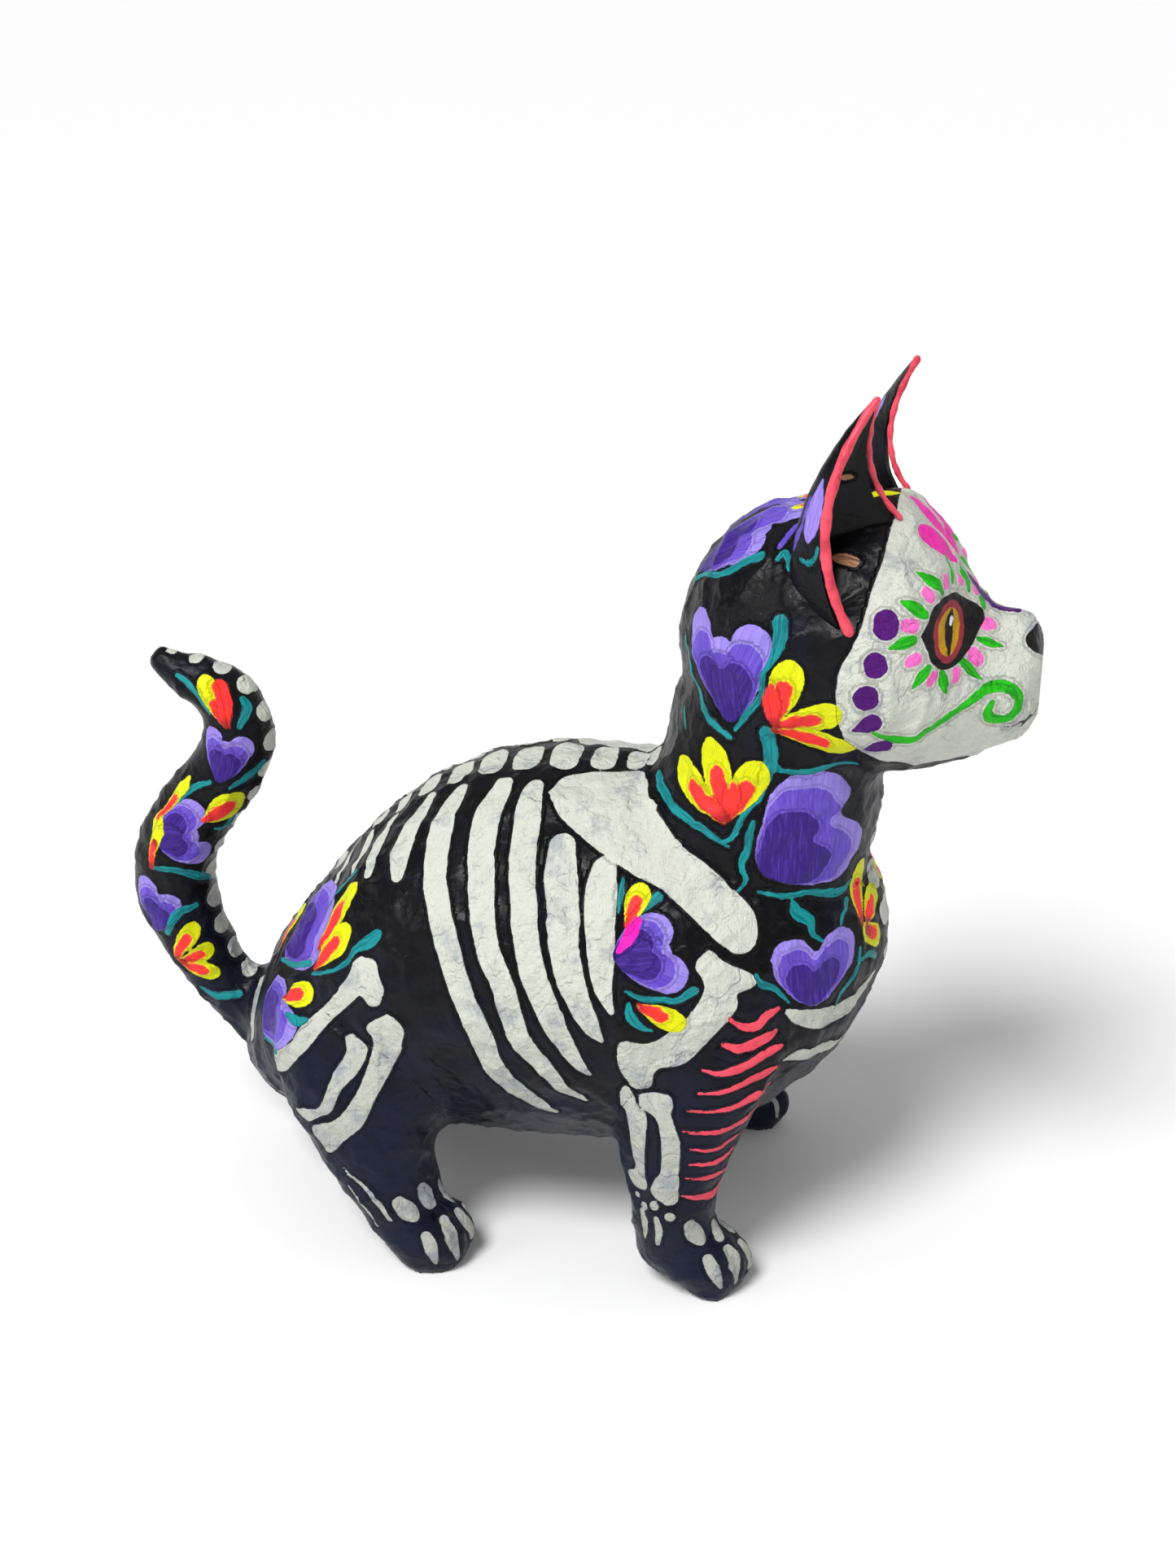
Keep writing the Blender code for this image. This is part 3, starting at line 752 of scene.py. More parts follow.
# %% Ribs
for rib in (
    (
        (-28.5, -13, 151, 5.6), (-30, -20, 149, 7.8), (-31, -30, 143, 9.0), (-29, -43, 133, 8.4),
        (-25, -51, 124, 8.0), (-21, -56, 114, 8.0), (-17, -59, 104, 7.7), (-11, -60, 92, 8.0),
        (-8, -59, 82, 7.6), (-2, -57, 72, 6.7), (5, -54, 65, 5.2), (11, -52, 62, 1.6),
    ),
    (
        (-13.5, -15, 155, 6.3), (-15, -22, 153, 8.3), (-16, -33, 146, 9.3), (-14, -44, 137, 8.8),
        (-12, -51, 127, 8.1), (-9, -56, 118, 7.8), (-4, -59, 109, 7.8), (-1, -60, 99, 7.4),
        (3, -60, 89, 7.1), (10, -59, 80, 5.6), (15, -57, 73, 4.3), (21, -55, 69, 1.6),
    ),
    (
        (-3, -18, 156.5, 5.8), (-3, -27, 154, 8.5), (-2, -37, 146, 8.8), (-1, -45, 139, 8.5),
        (1, -51, 131, 8.7), (3, -55, 121, 8.1), (6, -59, 112, 8.3), (11, -60, 101, 7.8),
        (15, -61, 92, 6.5), (19, -60, 85, 4.9), (23, -59, 81, 1.6),
    ),
    (
        (10, -37, 147, 8.5), (11, -44, 140, 10.5), (13, -50, 132, 9.9), (14, -54, 124, 9.6),
        (16, -58, 116, 9.2), (19, -60, 108, 8.1), (23, -61, 100, 6.3), (27, -61, 94, 1.8),
    ),
    (
        (24, -41, 143, 7.2), (24, -47, 137, 10.1), (25, -53, 128, 9.3), (26, -56, 120, 8.4),
        (27, -59, 112, 5.9), (30, -60, 104, 1.8),
    ),
    ((-39, -11, 147, 3.8), (-42, -20, 143, 7.2), (-44, -30, 136, 8.5), (-43, -37, 132, 6.0)),
    ((-51, -10, 138, 2.7), (-54, -19, 133, 5.2), (-55, -30, 127, 3.6)),
    ((-60, -9, 131, 2.4), (-61, -17, 127, 4.6), (-62, -24, 123.5, 2)),
    ((-68, -6, 122, 2), (-70, -15, 118, 3.2), (-71, -20, 115, 1.8)),
    (
        (82, -47, 103, 2), (86, -44, 100, 5.6), (91, -38, 97, 7.2), (98, -31, 96.5, 6.7),
        (102, -21, 98, 5.4), (105, -13, 100, 2.9),
    ),
    (
        (80, -45, 86, 1.4), (85, -41, 85, 4.3), (90, -34, 83.5, 5.2), (95, -25, 82, 3.8),
        (99, -16, 84, 1.4),
    ),
):
    paint("bone", *rib)
print("ribs painted, canvas has", canvas.count, "strokes")

# %% Shoulder, arm and thigh
for outline in (
    (
        (2, -21, 156), (5, -13, 159), (13, -10, 160), (21, -9, 160.5), (28, -7, 160),
        (32, -12, 159), (34, -18, 157), (39, -26, 154), (46, -32, 149), (55, -37, 145),
        (65, -39, 137), (70, -41, 132), (72, -45, 127), (70, -47, 123), (66, -49, 122.5),
        (60, -49, 126), (52, -47, 132), (42, -44, 139), (33, -42, 142), (24, -39, 146),
        (15, -34, 149), (7, -28, 152.5),
    ),
    (
        (55, -52, 121.5), (58, -51, 124), (61, -51, 122), (64, -51, 120), (71, -49, 116),
        (72, -50, 113), (67, -52, 110.5), (67, -53, 106), (59, -56, 95), (53, -58, 88),
        (44, -58, 84.5), (42, -58, 78), (36, -57, 77), (32, -59, 85), (32, -60, 92), (34, -60, 95),
        (40, -60, 94), (47, -59, 98), (53, -57, 104), (57, -55, 111), (57, -55, 115),
        (54, -53, 119),
    ),
    (
        (32, -56, 74), (34, -58, 77), (37, -57, 73.5), (38.5, -58, 70), (41, -59, 68),
        (41, -60, 58), (41, -60, 49), (42, -61, 44), (41, -60, 41), (37, -57, 41), (35, -56, 45),
        (37, -59, 48), (36, -58, 57), (35, -55, 66), (32.5, -54, 69),
    ),
    (
        (38, -57, 74), (42, -58, 76), (48, -59, 76.5), (49.5, -60, 73), (49, -60, 70),
        (52, -61, 61), (52, -62, 52), (52, -62, 43), (51.5, -62, 38.5), (48, -62, 38),
        (43, -62, 41), (44, -62, 46), (46, -62, 50), (46, -61, 60), (44, -60, 68), (39.5, -58, 70),
    ),
    (
        (-52, -49, 108), (-47, -52, 108), (-45, -54, 104), (-43, -56, 100), (-45, -56, 95),
        (-48, -55, 94), (-51, -54, 96.5), (-54, -53, 93.5), (-60, -52, 87), (-65, -55, 82),
        (-70, -56, 75), (-77, -56, 67), (-81, -52, 64), (-87, -43, 64), (-84, -46, 70),
        (-81, -51, 71), (-75, -53, 76), (-73, -53, 81), (-68, -51, 86), (-61, -51, 94),
        (-57, -50, 100), (-55, -49, 105),
    ),
    (
        (-42, -57, 93), (-36, -58, 89), (-38, -57, 80), (-42, -57, 71), (-46, -61, 63),
        (-50, -63, 54), (-56, -64, 48), (-61, -63, 43), (-67, -61, 50), (-59, -63, 55),
        (-53, -62, 63), (-49, -59, 73), (-47, -56, 82), (-49, -56, 87),
    ),
    (
        (-54, -55, 83), (-49, -57, 79), (-52, -59, 71), (-57, -61, 65), (-60, -63, 58),
        (-64, -62, 55), (-69, -61, 52), (-73, -58, 55), (-66, -61, 57), (-63, -61, 61),
        (-60, -60, 70), (-56, -57, 77), (-56.5, -56, 82),
    ),
):
    paint_patch("bone", *outline)
print("long bones painted")

# %% Wrist, ankle and toe bones
for spot in ((38, -59, 38, 2.2), (41, -60, 35, 3), (44.5, -61, 36.5, 3.4), (49.5, -62, 33.5, 3.8)):
    paint("bone", spot)
for bone in (
    ((40, -60, 33, 1.8), (41, -60, 28, 2.8), (41, -59, 22, 1)),
    ((45, -62, 32, 2), (46, -61.5, 27, 2.6), (45.5, -61, 22, 1.8)),
    ((55.5, -60, 29.5, 4.2), (57, -59, 26, 6), (58.5, -57.5, 22.8, 4)),
    ((61, -52, 26, 2.6), (62.5, -52, 24, 4.2), (64, -53, 21.5, 3.4)),
    ((64, -46, 25.5, 2.4), (66, -45.5, 23.5, 3.8), (68, -45.5, 20.5, 2.8)),
    ((65, -40, 24, 1.8), (67, -39.5, 22, 2.8), (69, -39.5, 19, 1.8)),
    ((61.5, -59, 16.5, 3.8), (63.5, -59.5, 12.5, 4.4), (66, -59, 6, 1.2)),
    ((67, -54, 17.5, 3.8), (69.5, -54.5, 13.5, 5), (70.5, -55, 5.5, 1.4)),
    ((70.5, -48, 17, 2.8), (72, -47.5, 12.5, 3.6), (73, -47, 6, 1.2)),
    ((70.5, -41, 15, 2.2), (72, -40.5, 11, 2.8), (73, -40, 6, 1)),
    ((-57, -65, 38.5, 0.9), (-51, -65, 34, 1.4), (-45, -66, 27.5, 2.0), (-41, -66, 21, 1.6)),
    ((-55, -64, 31.5, 0.7), (-50, -65, 24.5, 1.3), (-46, -65, 17.5, 1.2)),
    ((-38.5, -64, 27, 4.6), (-36, -63.5, 24, 6.4), (-34.6, -63, 22, 4.6)),
    ((-33, -58, 30, 3.6), (-31, -58, 27, 5.8), (-29.4, -58.5, 24.4, 4.6)),
    ((-28.5, -51, 27.5, 2.6), (-26.5, -50.5, 24, 4), (-25, -50, 20.5, 3)),
    ((-27, -45, 26, 1.6), (-25.5, -44.5, 23.5, 2.6), (-24.5, -44.5, 20.5, 1.6)),
    ((-29.6, -64.5, 15.5, 3.6), (-28, -65, 12, 4.6), (-26.5, -65, 5.5, 1.4)),
    ((-25, -59, 18.5, 3.6), (-22.5, -60.5, 13, 5), (-21, -60, 5, 1.4)),
    ((-21.5, -53, 18.5, 3), (-19.5, -52.5, 14, 4.2), (-18.5, -52, 8, 1.4)),
    ((-20.5, -46, 17, 2.4), (-18.8, -45.5, 13, 3.2), (-18, -45, 8, 1.2)),
):
    paint("bone", *bone)
print("toes painted")

# %% [markdown]
# ## Flowers, hearts and stems
# Bright motifs fill the black between the bones: down the neck and chest, behind the arm, on
# the hip and all along the tail.

# %% Neck and chest
heart((60, -31, 192), (49.5, -24, 217), (66, -37, 216), 10.5, 13.5, 0.6)
heart_outline(
    (71, -37, 143), (78, -34, 176), (84, -32, 177), (91, -27, 175), (95, -22, 167), (93, -25, 161),
    (98, -19, 155), (99, -16, 150), (96, -19, 142), (92, -24, 138), (80, -33, 140), (72, -37, 144),
    (69, -37, 152), (71, -35, 162), (73, -35, 170),
)
heart_outline(
    (88, -43, 104), (76, -46, 120), (78, -43, 124), (84, -39, 124), (89, -38, 120), (91, -33, 123),
    (95, -28, 124), (99, -25, 120), (99, -28, 112), (96, -35, 107), (91, -40, 103), (87, -43, 104),
    (83, -45, 107), (78, -47, 114),
)
stem(
    (43, -17, 212, 0.8), (46, -22, 206, 1.6), (47, -24, 198, 2), (50, -27, 192, 2.2),
    (54, -30, 189, 2.4), (60, -33, 186, 1.6),
)
stem(
    (74, -38, 225, 5), (74, -40, 220, 4.6), (72.5, -40, 215, 2.6), (70, -40, 210, 1.8),
    (69, -38, 202, 2), (65, -35, 195, 2.2), (61, -34, 189, 1.4),
)
stem((43, -19, 189, 0.8), (44, -21, 185, 1.2), (45, -23, 182, 0.8))
petal((73, -38, 193), (78, -42, 213), 9.5)
petal((73, -38, 192), (91, -41, 200.5), 8.8)
petal((73, -37, 191), (95, -36, 188), 8.2)
paint("red", (73, -38, 193, 1.6), (71.5, -40, 200, 5), (72, -41, 206, 2))
stem(
    (71, -36, 190, 4.6), (72, -35, 185, 4.2), (73, -35, 180, 2.8), (76, -34, 178, 1.8),
    (85, -32, 177, 2.2), (97, -30, 180, 1.6),
)
petal((59, -35, 159), (44.5, -23, 172), 9.5, 0.66)
petal((60, -35, 160), (69, -35, 178), 9.5, 0.66)
petal((60, -35, 160), (54, -30, 182), 9.5, 0.66)
paint("red", (60, -35, 160, 1.6), (61, -34, 167, 3.8), (62, -34, 172, 1.4))
paint("red", (59, -35, 160, 1.6), (53, -31, 165, 3.8), (50, -28, 169, 1.4))
stem(
    (35, -13, 163, 2.4), (38, -19, 161, 3.6), (41, -25, 159, 3.4), (47, -30, 157, 2.8),
    (52, -33, 156, 2.4), (56, -35, 154, 2), (61, -37, 152, 1),
)
stem(
    (72, -36, 187, 3), (72.5, -35, 183, 4.6), (72, -35, 178, 3.4), (70.5, -35, 172, 2.4),
    (69, -35, 168, 2.4), (66, -35, 164, 2), (63.5, -36, 159, 1.9), (62, -36, 155, 1.6),
    (59, -36, 153, 0.8),
)
stem(
    (68, -36, 161, 1.2), (67, -36, 156, 2.5), (66.5, -37, 151, 2.4), (65, -37, 147, 2.2),
    (66.5, -38, 142, 1.6), (64, -39, 138, 0.8),
)
stem(
    (70, -37, 138, 0.8), (74, -36, 137, 1.6), (79, -34, 136, 1.9), (85, -31, 136.5, 2),
    (90, -26, 134, 2.8), (94, -21, 133, 2.4), (96, -17, 135, 1.6),
)
stem(
    (80, -34, 134.5, 1.2), (82, -35, 131, 4.4), (86, -34, 128, 3.4), (87, -36, 125, 2),
    (90, -35, 122, 1),
)
stem((96, -21, 130, 1.8), (95, -25, 127, 1.7), (95, -29, 124, 0.8))
petal((100, -20, 121), (98.5, -12, 138), 7.5)
petal((101, -18, 120), (103, -6, 127), 7)
paint("yellow", (102, -19, 118, 6.5), (104, -14, 114.5, 7.5))
paint("red", (102, -18.5, 118.5, 4), (103.5, -15.5, 116, 4.6))
stem(
    (101, -24, 115, 1.2), (101, -26, 110, 1.5), (99, -29, 106, 1.5), (97, -33, 103, 1.5),
    (95, -35, 99, 0.8),
)
stem((101, -25, 111, 0.9), (103, -20, 111, 2.2), (105, -15, 108, 2.2))
stem((72, -49, 116, 1), (74, -49, 113, 2.4), (78, -48, 111, 2), (82, -46, 106, 0.9))
print("neck and chest: canvas has", canvas.count, "strokes")

# %% Crown and nape
heart((46, -8, 229), (60, -17, 241), (73, -6, 249), 13, 11)
stem(
    (44, -10, 225, 1.2), (48, -13, 229, 1.6), (52, -19, 231, 2), (56, -22, 233, 2.4),
    (60, -23, 237, 2.6), (66, -23, 239, 3.4),
)
stem(
    (71, -26, 240, 1.6), (73, -24, 241, 2), (75, -31, 240, 2), (78, -33, 240, 1.8),
    (82, -33, 243, 2),
)
paint("violet", (71, -22, 242, 1.4), (73, -19, 246, 1.8), (75, -16, 249, 1.2))
petal((80, -3, 252), (73, -6, 249.5), 4.2)
paint_once("yellow", (92, -3, 253, 1.4), (97, -1, 253.5, 5), (102, 0, 253, 2))
paint("tan", (88, -28, 242.3, 2.4), (90.5, -28.4, 242, 3.6), (93, -29, 241.5, 3.4))
print("crown and nape painted")

# %% Behind the arm
heart((31, -55, 121), (41, -52, 128.5), (46.5, -56, 117), 11.5, 11.5)
petal((33, -52, 130), (36, -45, 139.5), 6.8)
paint("magenta", (36, -51, 131.5, 2.6), (34, -53, 127, 4.2), (31, -54, 122, 1.2))
stem((30, -43, 141, 1.3), (30, -46, 137, 2), (30, -50, 133, 0.8))
stem((41, -45, 137, 3.4), (38, -48, 135, 2.2), (35, -50, 132, 1.6), (33, -52, 128, 0.8))
stem(
    (34, -58, 111, 1.1), (39, -58, 109, 2.1), (45, -58, 109, 2.3), (50, -57, 109, 2.3),
    (54.5, -56, 112, 3),
)
petal((38, -59, 107), (51, -58, 101), 7, 0.62)
stem((35, -59, 107, 1.3), (36, -59, 103, 3.4), (39, -60, 100, 2.4), (42.5, -60, 99, 1))
print("flank flowers painted")

# %% Hip
heart_outline(
    (-86.5, -20, 94), (-73, -14, 115), (-69, -22, 117), (-67, -30, 114), (-69, -36, 107),
    (-70, -41, 101), (-75, -40, 95), (-83, -31, 91), (-87, -23, 92), (-85, -17, 100),
    (-80, -10, 107),
)
petal((-70, -39, 103), (-59, -31, 122), 8)
petal((-71, -43, 98.5), (-59, -42, 112), 9.5)
petal((-93, -18, 89), (-89, -9, 103), 5)
stem((-60.5, -25, 125, 1.5), (-66, -26, 118, 1.5), (-70, -27, 112, 0.9))
stem(
    (-47, -48, 115, 4.4), (-50, -48, 112.5, 4.4), (-54, -47, 109, 2.4), (-58, -48, 104, 1.8),
    (-64, -46, 99, 1.5), (-71, -43, 96, 1.2),
)
stem((-88, -26, 90, 1.6), (-80, -34, 93, 2.2), (-73, -40, 98, 2.6))
heart_outline(
    (-92.5, -32, 73), (-88, -29, 86), (-84, -37, 88), (-79, -46, 86), (-74, -52, 83),
    (-75, -53, 77), (-81, -51, 71), (-89, -38, 66), (-93, -33, 70), (-93, -28, 77),
)
paint_once("bone", (-102, -12, 71, 7), (-100.5, -20, 66, 9), (-98, -26, 60, 6))
petal((-81, -43, 86), (-72, -47, 91), 8)
stem((-78, -48, 83, 1.6), (-74, -51, 82.5, 3.4), (-71, -52, 84, 2))
stem((-91, -37, 66, 1.2), (-86, -44, 67, 1.6), (-81, -51, 70, 1.6))
print("hip painted")

# %% Tail
petal((-107, -11, 165), (-115, -8, 180), 6.5, 0.5)
paint("red", (-106.5, -10.5, 165, 1.4), (-107, -9.5, 171, 4.2), (-108.5, -9, 178.5, 5))
stem((-101.5, -7, 174, 2), (-101, -6, 170, 3.6), (-102.5, -10, 165, 2))
stem((-124, -7, 180, 1.8), (-119, -8, 176.5, 2.2), (-112.5, -10, 169, 1.3))
heart((-110, -12, 146), (-112, -10, 160), (-103, -9.5, 157), 7.5, 8.5)
stem((-97.5, -4, 151, 1.6), (-99, -6, 148, 3), (-103, -9, 145, 2.6), (-107, -11, 143, 1.3))
petal((-117, -11, 131), (-105.5, -9, 136.5), 10.5, 0.78)
stem((-113.5, -12, 145, 1.6), (-119, -11, 142.5, 2.3), (-125, -11, 137, 1.3))
stem((-106, -7, 130, 2.4), (-112, -6, 126, 2), (-115, -8, 127, 1))
petal((-133, -10, 129), (-121, -9, 144), 4.2, 0.6)
petal((-136, -12, 112), (-132, -10, 131), 4.8, 0.5)
heart((-134, -12, 123), (-121, -12, 133), (-122, -9, 118), 10, 9)
stem((-136, -13, 112, 1.4), (-128, -12, 112, 2.4), (-122, -8, 108, 3.2), (-119, -3, 105, 1.8))
heart((-137, -12, 88), (-139, -11, 103), (-131.5, -12.5, 98), 9, 8.5)
stem((-124, -8, 97, 2), (-129, -12, 95, 3.2), (-133, -12, 87, 2))
petal((-131, -11, 77), (-124, -11, 90), 6.4)
petal((-130, -11, 76), (-119.5, -9, 81), 6)
petal((-129, -11, 75), (-118, -9.5, 72), 6)
stem((-124, -10, 65.5, 1.3), (-119, -10, 63, 2.8), (-111, -8, 63.5, 3))
print("tail painted: canvas has", canvas.count, "strokes")

# %% [markdown]
# ## The face
# The face has a black eye with a red and gold ring and a slit pupil, a ring of pink dots and
# green leaves round it, pink petals on the brow, purple dots along the cheek, a green scroll
# on the jaw, and a black nose.

# %% Eye
EYE = (
    (113, -35, 223), (116, -28.5, 229.5), (121, -17.5, 230.5), (126, -12, 227.5), (130, -9, 222),
    (127, -20, 215.5), (122, -30, 212), (117, -34.5, 214.5),
)
IRIS = (
    (125.2, -20.8, 219.1), (123.9, -26, 215.5), (121.5, -30, 213.6), (118.9, -32.5, 215),
    (117, -33, 219), (116.6, -31, 224), (117.9, -26, 227.8), (120.2, -19.9, 228.8),
    (122.8, -15.8, 227), (124.7, -16.5, 223.3),
)
GOLD = (
    (124, -22.2, 219.8), (123.1, -26.3, 216.9), (121.4, -29.3, 215.5), (119.5, -31.2, 216.4),
    (118.2, -31.3, 219.4), (118, -29.6, 223.3), (118.9, -25.5, 226.2), (120.6, -21.3, 227.2),
    (122.4, -18.4, 225.9), (123.7, -19.2, 223.2),
)
PUPIL = (
    (121.2, -19.5, 227), (122.3, -21.5, 223.8), (122.6, -24, 220.6), (121.8, -27.4, 217.4),
    (121, -29.8, 215), (120.2, -28.6, 219), (119.8, -26.8, 222.4), (120.3, -23.6, 225.4),
)
for coat, outline in (("ink", EYE), ("crimson", IRIS), ("gold", GOLD), ("pupil", PUPIL)):
    paint_patch(coat, *outline)
paint("glint", (122.4, -22.4, 224.4, 1.9), (122, -23.2, 223.2, 1.5))
print("eyes painted")

# %% Dots and leaves round the eye
ring = (
    ((118, -19, 234), 3), ((122.5, -10, 232.5), 3), ((127, -4, 227), 2.6),
    ((131.5, -11, 219.5), 4.2), ((128.5, -21, 212.5), 4.8), ((123.5, -29, 209.5), 3.2),
    ((117, -35.5, 210.5), 3.2), ((112, -39, 217), 3.4), ((110.3, -37, 226.5), 3.8),
    ((113.8, -28, 232.8), 3.4),
)
eye = (121, -24, 222)
for spot, size in ring:
    paint("pink", (*toward(spot, eye, -0.06), size), (*toward(spot, eye, 0.06), size * 1.12))
leaves = (
    ((117, -8, 239), (119.5, -15, 232.5), 2), ((110.5, -26, 238.5), (116.5, -23, 232), 3.4),
    ((107.5, -35, 233), (113.5, -32, 228), 3.6), ((105, -41, 221), (111.5, -37, 222.5), 3.2),
    ((112.5, -39.5, 209), (116, -36, 214), 2.8), ((121, -32, 205), (120, -33, 211.5), 3),
    ((131, -23, 206.5), (124.5, -26, 213), 3), ((136, -14, 213.5), (129.5, -17.5, 217), 2.4),
    ((131.5, -3.5, 227.5), (129, -7, 223), 3), ((122.5, -3, 235), (124.5, -8, 228.5), 3),
)
for point, foot, width in leaves:
    paint("green", (*point, 0.8), (*toward(point, foot, 0.6), width * 1.15), (*foot, width * 0.8))
print(len(ring), "dots and", len(leaves), "leaves for each eye")

# %% Brow petals, cheek dots, scroll, nose and mouth
paint(
    "magenta", (110, -13, 246, 4), (113, -10, 244, 8.6), (117.5, -6.5, 240.5, 7.4),
    (121.5, -3.5, 236, 1.4),
)
paint_once(
    "magenta", (107.5, -1, 253, 3.2), (111, -1, 251, 5.6), (115, -1, 248, 5.4),
    (119, -0.5, 244, 3.2), (123, 0, 239, 1),
)
paint_once(
    "aubergine", (125, -1, 234, 1.4), (130, -1, 230, 4.4), (136, -1, 226.5, 4.2),
    (140, -1, 225, 2.4),
)
paint("aubergine", (103.8, -39.5, 228, 7.4), (103.8, -40, 226.5, 7.2))
paint("aubergine", (101.6, -42, 216.5, 6.8), (101.8, -42, 215.5, 6.6))
paint("aubergine", (99.6, -43, 206.5, 7.4), (99.8, -43, 205.6, 7.2))
paint("aubergine", (101.6, -41, 198, 6), (100.4, -41, 197, 5.4), (96.5, -40, 195.2, 0.9))
paint("aubergine", (105.5, -36.5, 188.5, 5), (103.5, -36.6, 188, 5), (99.5, -36, 186.8, 0.9))
paint(
    "green", (102, -40, 194.5, 1.2), (107, -37, 191.5, 2.6), (112, -35, 191, 2.8),
    (117, -34, 194, 2.6), (122, -31, 197.5, 2.2), (128, -27, 201, 2.6), (133, -23, 204, 3.4),
    (137.5, -20.5, 204, 3.6), (141.2, -18.5, 201, 3.4), (141.8, -18.5, 197, 3.2),
    (138.5, -20, 193.8, 3), (134.5, -22, 194.6, 3.4), (133.2, -22.5, 197.4, 2.8),
    (134.2, -22, 199.4, 1.8),
)
paint_once(
    "ink", (144.5, -8, 213.5, 6.8), (147, -4, 213, 9.5), (147.5, 0, 212.5, 10), (147, 4, 213, 9.5),
    (144.5, 8, 213.5, 6.8),
)
paint_once("ink", (147.5, 0, 211, 5), (147.5, 0, 204, 1.3), (147, 0, 198, 1.2))
paint("ink", (147, 0, 198, 1.2), (146, -6, 195, 1.2), (143, -12, 192.5, 1.2), (138, -17, 192, 0.8))
for y, z, x in ((-4, 196, 146.5), (-8, 194, 145.5), (-12, 192.5, 143)):
    paint("ink", (x, y, z + 3, 0.7), (x, y - 0.4, z, 1.5), (x - 0.5, y - 0.8, z - 3, 0.7))
print("face painted: canvas has", canvas.count, "strokes")

# %% [markdown]
# ## Stripes on the arm
# The front of each front leg has ten coral stripes, like the muscles between bones. Each is
# a crescent, thin at the outer side and thicker towards the front of the leg.

# %% Coral stripes
for stripe in (
    (
        (65, -54, 103, 1.2), (69, -53, 100, 2.4), (73, -52, 100, 3), (76, -50, 103, 2.8),
        (79, -48, 104.5, 1.4),
    ),
    (
        (64, -56, 94, 1.6), (68, -55, 93, 3), (73, -53, 94, 3.4), (77, -50, 96, 3),
        (79, -48.5, 97.5, 1.0),
    ),
    (
        (58, -58, 86, 1), (63, -58, 85, 1.8), (68, -56, 86, 2.7), (74, -53, 89, 3),
        (78, -50, 91, 2.6), (80, -47, 91.5, 0.9),
    ),
    (
        (57, -59, 78, 0.9), (64, -58, 79, 1.5), (70, -56, 80.5, 2.2), (75, -52, 82.5, 2.8),
        (79, -47, 84.5, 1.2),
    ),
    (
        (54, -60, 72, 0.8), (62, -59, 72, 1.3), (68, -56, 73, 2), (73, -52, 75, 2.7),
        (77, -46, 77, 1),
    ),
    (
        (53, -61, 65, 0.7), (60, -59, 64.5, 1.4), (66, -56, 65, 2.4), (71, -51, 67, 2),
        (74.5, -45, 69.5, 0.8),
    ),
    ((55, -61, 59, 0.7), (60, -59, 58, 1.3), (65, -55, 58.5, 1.7), (69.5, -48.5, 60.5, 0.8)),
    ((55, -61, 53, 0.7), (60, -59, 52.5, 1.4), (64, -55, 53, 2), (67.5, -51, 55, 0.9)),
    ((54, -61, 48, 0.7), (59, -59, 47, 1.4), (63, -54, 47, 2.2), (66, -50, 49, 0.8)),
    ((53, -61, 41.5, 0.8), (57.5, -59, 40, 2.2), (62, -54, 38.5, 2.8), (64, -50, 41, 1.2)),
):
    paint("coral", *stripe)
canvas.save()
print("all coats dry:", canvas.count, "strokes and patches")

# %% [markdown]
# ## Thickness of the paint
# Acrylic paint laid on with a loaded brush stands proud of the skin. The points under bone,
# coral and flower paint are lifted by a fraction of a millimetre.

# %% Raise the painted places
RELIEF = {
    "bone": 0.16, "lavender": 0.10, "violet": 0.05, "yellow": 0.14, "red": 0.06, "teal": 0.12,
    "coral": 0.22, "green": 0.14, "aubergine": 0.10, "ink": 0.10, "pink": 0.16, "magenta": 0.12,
}
height = sum(lift * smoothstep(-0.45, 0.45, canvas.depth[coat]) for coat, lift in RELIEF.items())
points = canvas.points + canvas.normals * height[:, None]
points = inside_box(points)
SOLE = 0.8
points[:, 2] = np.where(points[:, 2] < SOLE, BOX_MARGIN, points[:, 2])
write(skin.data, points)
print("most paint on any point:", round(float(height.max()), 2), "mm")

# %% [markdown]
# ## Back to the maker's pieces
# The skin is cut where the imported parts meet, so that each piece stands for its own shells.
# Every face goes to the part it lies nearest to, the border is smoothed, and the open edge of
# each piece is filled, which leaves a closed solid.

# %% Which part each face belongs to
OWNERS = {
    "head_skin": ("head_back_shell", "face_shell"),
    "neck_skin": ("neck_shell",),
    "body_skin_right": ("body_shell_right",),
    "body_skin_left": ("body_shell_left",),
    "front_leg_skin_right": ("front_leg_right", "front_paw_right"),
    "front_leg_skin_left": ("front_leg_left", "front_paw_left"),
    "hind_leg_skin_right": ("hind_leg_right", "hind_paw_right"),
    "hind_leg_skin_left": ("hind_leg_left", "hind_paw_left"),
    "tail_skin": ("tail_shell",),
}
corners, triangles, owner_of_triangle = [], [], []
for number, nodes in enumerate(OWNERS.values()):
    for name in nodes:
        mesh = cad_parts[name].data
        first = len(corners)
        corners += [tuple(v.co) for v in mesh.vertices]
        triangles += [tuple(first + i for i in p.vertices) for p in mesh.polygons]
        owner_of_triangle += [number] * len(mesh.polygons)
parts_tree = BVHTree.FromPolygons(corners, triangles)
owner = np.array([owner_of_triangle[parts_tree.find_nearest(Vector(p * MM))[2]] for p in points])
print("points for each part:", np.bincount(owner))

